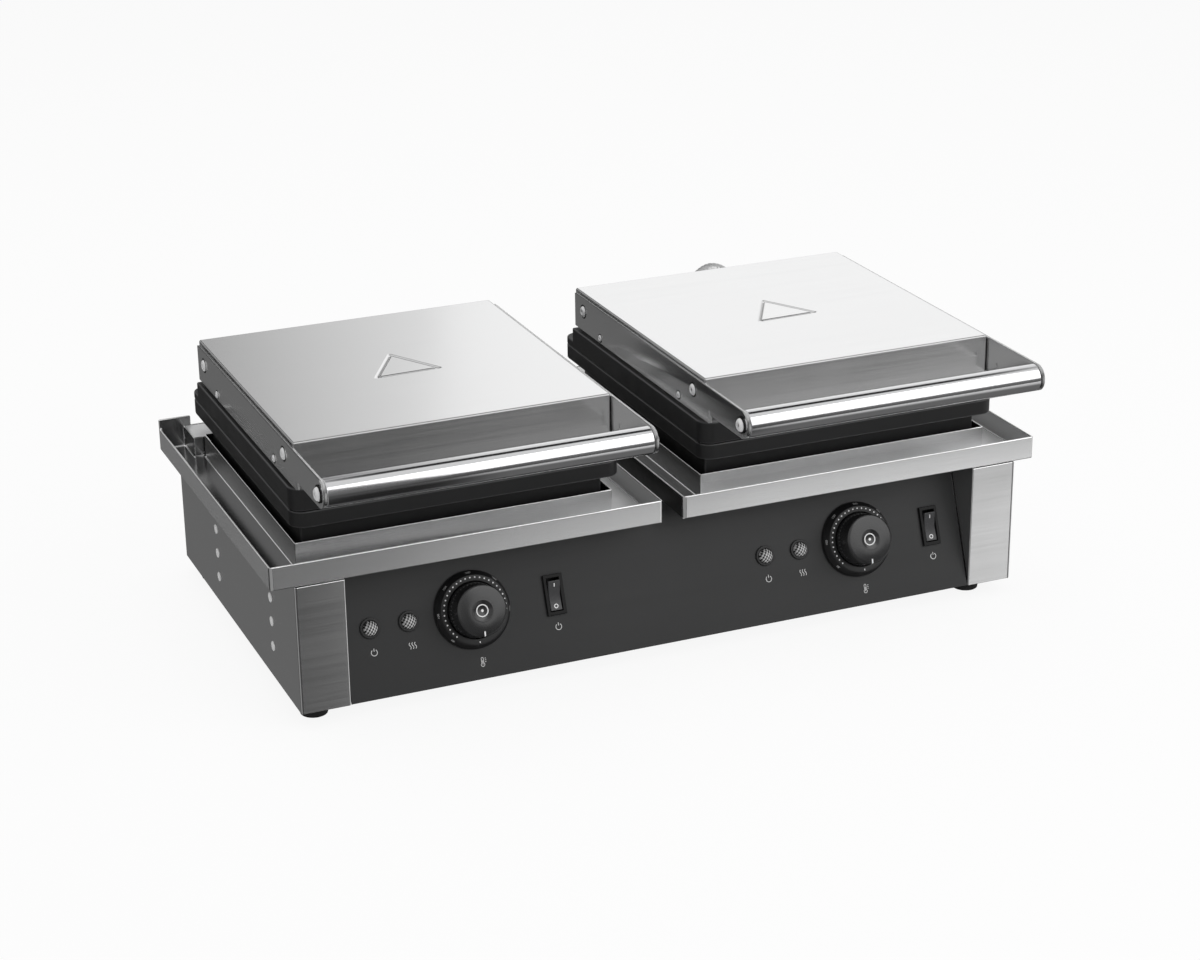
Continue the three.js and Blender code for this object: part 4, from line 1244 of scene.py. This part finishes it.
class MakePanelMarks(Maker):
    """Plain pictograms below the lamps, dials and switches"""

    bl_idname = "waffle.panel_marks"
    bl_label = "Panel marks"

    def execute(self, context):
        lamp_row, dial_row, switch_row = 31.6, 12, 26
        lamp_shift, dial_shift = 0.5, 2
        for unit in SIDES:
            bm = bmesh.new()
            self.power_mark(bm, middle(f"{unit}_power_lamp_body").x + lamp_shift, lamp_row)
            self.heat_mark(bm, middle(f"{unit}_heating_lamp_body").x + lamp_shift, lamp_row)
            self.thermometer(bm, middle(f"{unit}_dial_ring").x + dial_shift, dial_row)
            self.power_mark(bm, middle(f"{unit}_switch_housing").x, switch_row)
            detail(f"{unit}_panel_marks", "control_panel", bm, faint_ink(), place=PANEL)
        return {"FINISHED"}

    def print_line(self, bm, points, x, y, width=0.5):
        """A printed line, a little sunk into the panel."""
        moved(bm, stroke(bm, points, width, -0.05, 0.06), at(x, y))

    def power_mark(self, bm, x, y):
        size = 2.1
        self.print_line(bm, arc((0, 0), size, 125, 415, 26), x, y)
        self.print_line(bm, [(0, 0.4 * size), (0, 1.35 * size)], x, y)

    def heat_mark(self, bm, x, y):
        swing, height, steps = 0.55, 4.4, 12
        shares = [i / steps for i in range(steps + 1)]
        wave = [(swing * math.sin(share * 2 * math.pi), height * (share - 0.5)) for share in shares]
        for shift in (-1.9, 0, 1.9):
            self.print_line(bm, wave, x + shift, y)

    def thermometer(self, bm, x, y):
        bulb, bulb_radius, tip, tip_radius = -1.8, 1.25, 2.4, 0.72
        outline = arc((0, bulb), bulb_radius, 125, 415, 24) + arc((0, tip), tip_radius, 0, 180, 10)
        self.print_line(bm, outline + outline[:1], x, y, 0.42)
        self.print_line(bm, [(0, bulb), (0, 1.1)], x, y)
        for level in (-0.1, 1.1, 2.3):
            self.print_line(bm, [(1.7, level), (2.7, level)], x, y, 0.38)


# The room in the reflections. Each soft step says where along a direction it starts and ends, and where
# it isn't from 0 to 1, the light before and after. X looks right, Y away from the front, Z up. A lean is
# Y for each Z, and a fall is how steeply a look to the front goes down.
ROOM = {
    "rear": (-0.15, 0.25),
    "wall from the left": (0.13, 0.35, 0.0, 0.84),
    "wall from below": (-0.45, -0.25),
    "wall overhead": (0.6, 0.9),
    "gap lean": (0.12, 0.22),
    "gap lean end": (0.74, 0.62),
    "gap left": (0.12, 0.2),
    "gap right": (0.64, 0.54),
    "ceiling": (0.3, 0.95, 0.0, 0.75),
    "horizon height": (-0.3, 0.0, 0.13, 0.26),
    "horizon across": (0.28, 0.46, 0.62, 0.8),
    "strip across": (0.38, 0.46, 0.0, 0.65),
    "strip end": (0.54, 0.51),
    "table across": (0.27, 0.34, 0.0, 0.6),
    "table start": (0.42, 0.445),
    "floor": (-0.68, -0.44, 0.25, 1.0),
    "far left": (-0.8, -0.35, 0.25, 1.0),
    "open side": (0.2, -0.05),
    "open side height": (0.02, 0.22, 0.0, 0.8),
}
WALL_LIGHT, GAP_DEPTH, LOW_LIGHT, OPEN_SIDE_SHIFT = 0.16, 0.97, 0.3, 0.12

# Soft lamps: place in metres, size in metres, share of the key's power, and whether they show in reflections
LAMPS = {
    "key": ((1.1, -1.5, 1.3), 2.2, 1.0, True),
    "top": ((-0.3, 0.5, 2.0), 1.8, 0.6, False),
    "rim": ((1.0, 1.7, 0.8), 1.0, 0.022, True),
}
LAMP_TARGET = Vector((0, 0, 0.1))

# The camera: what it looks at and from how far, in metres, its direction and its roll
CAMERA_TARGET, CAMERA_DISTANCE = Vector((-0.0038, -0.0103, 0.09)), 1.9058
CAMERA_TURN, CAMERA_HEIGHT, CAMERA_ROLL = (math.radians(angle) for angle in (-22.849, 21.606, -0.72))


class MakeStage(Maker):
    """Floor, light and camera"""

    bl_idname = "waffle.stage"
    bl_label = "Stage"

    def execute(self, context):
        stage = context.scene.waffle_stage
        self.make_floor()
        self.make_world(context, stage)
        self.make_lamps(context, stage)
        self.make_camera(context, stage)
        context.scene.view_settings.view_transform = "Standard"
        return {"FINISHED"}

    def make_floor(self):
        bm = bmesh.new()
        bmesh.ops.create_grid(bm, x_segments=2, y_segments=2, size=6)
        mesh = bpy.data.meshes.new("floor")
        bm.to_mesh(mesh)
        bm.free()
        floor = bpy.data.objects.new("floor", mesh)
        bpy.context.scene.collection.objects.link(floor)
        paper = bpy.data.materials.new("Floor paper")
        paper.use_nodes = True
        tree = paper.node_tree
        tree.nodes.clear()
        seen = times(tree, add_node(tree, "ShaderNodeLightPath").outputs["Is Camera Ray"], 0.9)
        plain = add_node(tree, "ShaderNodeBsdfDiffuse", {"Color": (0.95, 0.95, 0.95, 1)}).outputs[0]
        shine = add_node(tree, "ShaderNodeEmission", {"Strength": 1.0}).outputs[0]
        both = add_node(tree, "ShaderNodeMixShader", {"Fac": seen, 1: plain, 2: shine}).outputs[0]
        add_node(tree, "ShaderNodeOutputMaterial", {"Surface": both})
        mesh.materials.append(paper)
        floor.visible_glossy = False

    def make_world(self, context, stage):
        world = bpy.data.worlds.new("Studio")
        context.scene.world = world
        world.use_nodes = True
        tree = world.node_tree
        tree.nodes.clear()
        path = add_node(tree, "ShaderNodeLightPath").outputs
        seen = maths(tree, "MAXIMUM", path["Is Camera Ray"], path["Is Transmission Ray"])
        glossy = times(tree, path["Is Glossy Ray"], self.reflected_room(tree))
        special = maths(tree, "MAXIMUM", seen, path["Is Glossy Ray"])
        plain = times(tree, maths(tree, "SUBTRACT", 1.0, special), stage.fill)
        strength = plus(tree, maths(tree, "MAXIMUM", seen, glossy), plain)
        back = add_node(tree, "ShaderNodeBackground", {"Strength": strength})
        add_node(tree, "ShaderNodeOutputWorld", {"Surface": back.outputs[0]})

    def reflected_room(self, tree):
        """The light that a reflection meets, by the direction it looks in, never above 1."""

        def rise(value, name):
            inputs = dict(enumerate((value, *ROOM[name], 0.0, 1.0)[:5]))
            return add_node(tree, "ShaderNodeMapRange", inputs, interpolation_type="SMOOTHSTEP").outputs[0]

        def product(*values):
            result = values[0]
            for value in values[1:]:
                result = times(tree, result, value)
            return result

        way = add_node(tree, "ShaderNodeTexCoord").outputs["Generated"]
        x, y, z = add_node(tree, "ShaderNodeSeparateXYZ", {0: way}).outputs
        behind = rise(y, "rear")
        before = maths(tree, "SUBTRACT", 1.0, behind)
        wall = plus(tree, product(rise(x, "wall from the left"), rise(z, "wall from below")), WALL_LIGHT)
        wall = maths(tree, "MAXIMUM", wall, rise(z, "wall overhead"))
        lean = maths(tree, "DIVIDE", y, maths(tree, "MAXIMUM", z, 0.01))
        gap = product(rise(lean, "gap lean"), rise(lean, "gap lean end"))
        gap = product(gap, rise(x, "gap left"), rise(x, "gap right"), GAP_DEPTH)
        wall = product(wall, maths(tree, "SUBTRACT", 1.0, gap))
        horizon = product(rise(z, "horizon height"), rise(x, "horizon across"))
        ahead = maths(tree, "MAXIMUM", product(y, -1.0), 0.01)
        fall = maths(tree, "DIVIDE", product(z, -1.0), ahead)
        strip = product(rise(x, "strip across"), rise(fall, "strip end"))
        table = product(plus(tree, rise(x, "table across"), strip), rise(fall, "table start"))
        front = plus(tree, plus(tree, rise(z, "ceiling"), horizon), table)
        front = product(front, rise(z, "floor"))
        reflected = plus(tree, product(behind, wall), product(before, front))
        reflected = product(reflected, rise(x, "far left"))
        beside = rise(plus(tree, x, product(behind, OPEN_SIDE_SHIFT)), "open side")
        side_light = maths(tree, "MAXIMUM", rise(z, "open side height"), product(before, LOW_LIGHT))
        reflected = maths(tree, "MAXIMUM", reflected, product(beside, side_light))
        return maths(tree, "MINIMUM", reflected, 1.0)

    def make_lamps(self, context, stage):
        for name, (spot, size, share, shine) in LAMPS.items():
            lamp = bpy.data.lights.new(name, "AREA")
            lamp.energy = stage.key * share
            lamp.size = size
            made = bpy.data.objects.new(name, lamp)
            made.location = spot
            made.visible_glossy = shine
            made.rotation_euler = (LAMP_TARGET - Vector(spot)).to_track_quat("-Z", "Y").to_euler()
            context.scene.collection.objects.link(made)

    def make_camera(self, context, stage):
        camera = bpy.data.cameras.new("camera")
        camera.lens = stage.lens
        camera.sensor_width = 36
        camera.clip_end = 50
        made = bpy.data.objects.new("camera", camera)
        level = Vector((math.sin(CAMERA_TURN), -math.cos(CAMERA_TURN), 0)) * math.cos(CAMERA_HEIGHT)
        back = level + Vector((0, 0, math.sin(CAMERA_HEIGHT)))
        made.location = CAMERA_TARGET + back * CAMERA_DISTANCE
        turn = (-back).to_track_quat("-Z", "Y").to_matrix().to_4x4()
        made.rotation_euler = (turn @ Matrix.Rotation(CAMERA_ROLL, 4, "Z")).to_euler()
        context.scene.collection.objects.link(made)
        context.scene.camera = made


OPERATORS = (
    MakeCabinet, MakeFeet, MakeTrays, MakePlates, MakeLids, MakeConduits, MakeDials, MakeLamps,
    MakeSwitches, MakePanelMarks, MakeStage,
)


class WafflePanel(bpy.types.Panel):
    """Lists the operators and the settings."""

    bl_idname = "VIEW3D_PT_waffle_maker"
    bl_label = "Waffle Maker"
    bl_space_type = "VIEW_3D"
    bl_region_type = "UI"
    bl_category = "Waffle Maker"

    def draw(self, context):
        scene = context.scene
        for settings in (scene.waffle_shape, scene.waffle_colours, scene.waffle_stage):
            for name in settings.__annotations__:
                self.layout.prop(settings, name)
        for operator in OPERATORS:
            self.layout.operator(operator.bl_idname)


CLASSES = (WaffleShape, WaffleColours, WaffleStage) + OPERATORS + (WafflePanel,)


def register():
    for each in CLASSES:
        bpy.utils.register_class(each)
    bpy.types.Scene.waffle_shape = bpy.props.PointerProperty(type=WaffleShape)
    bpy.types.Scene.waffle_colours = bpy.props.PointerProperty(type=WaffleColours)
    bpy.types.Scene.waffle_stage = bpy.props.PointerProperty(type=WaffleStage)


def unregister():
    del bpy.types.Scene.waffle_stage
    del bpy.types.Scene.waffle_colours
    del bpy.types.Scene.waffle_shape
    for each in reversed(CLASSES):
        bpy.utils.unregister_class(each)


def main():
    register()
    for operator in OPERATORS:
        group, name = operator.bl_idname.split(".")
        getattr(getattr(bpy.ops, group), name)()


if __name__ == "__main__":
    main()
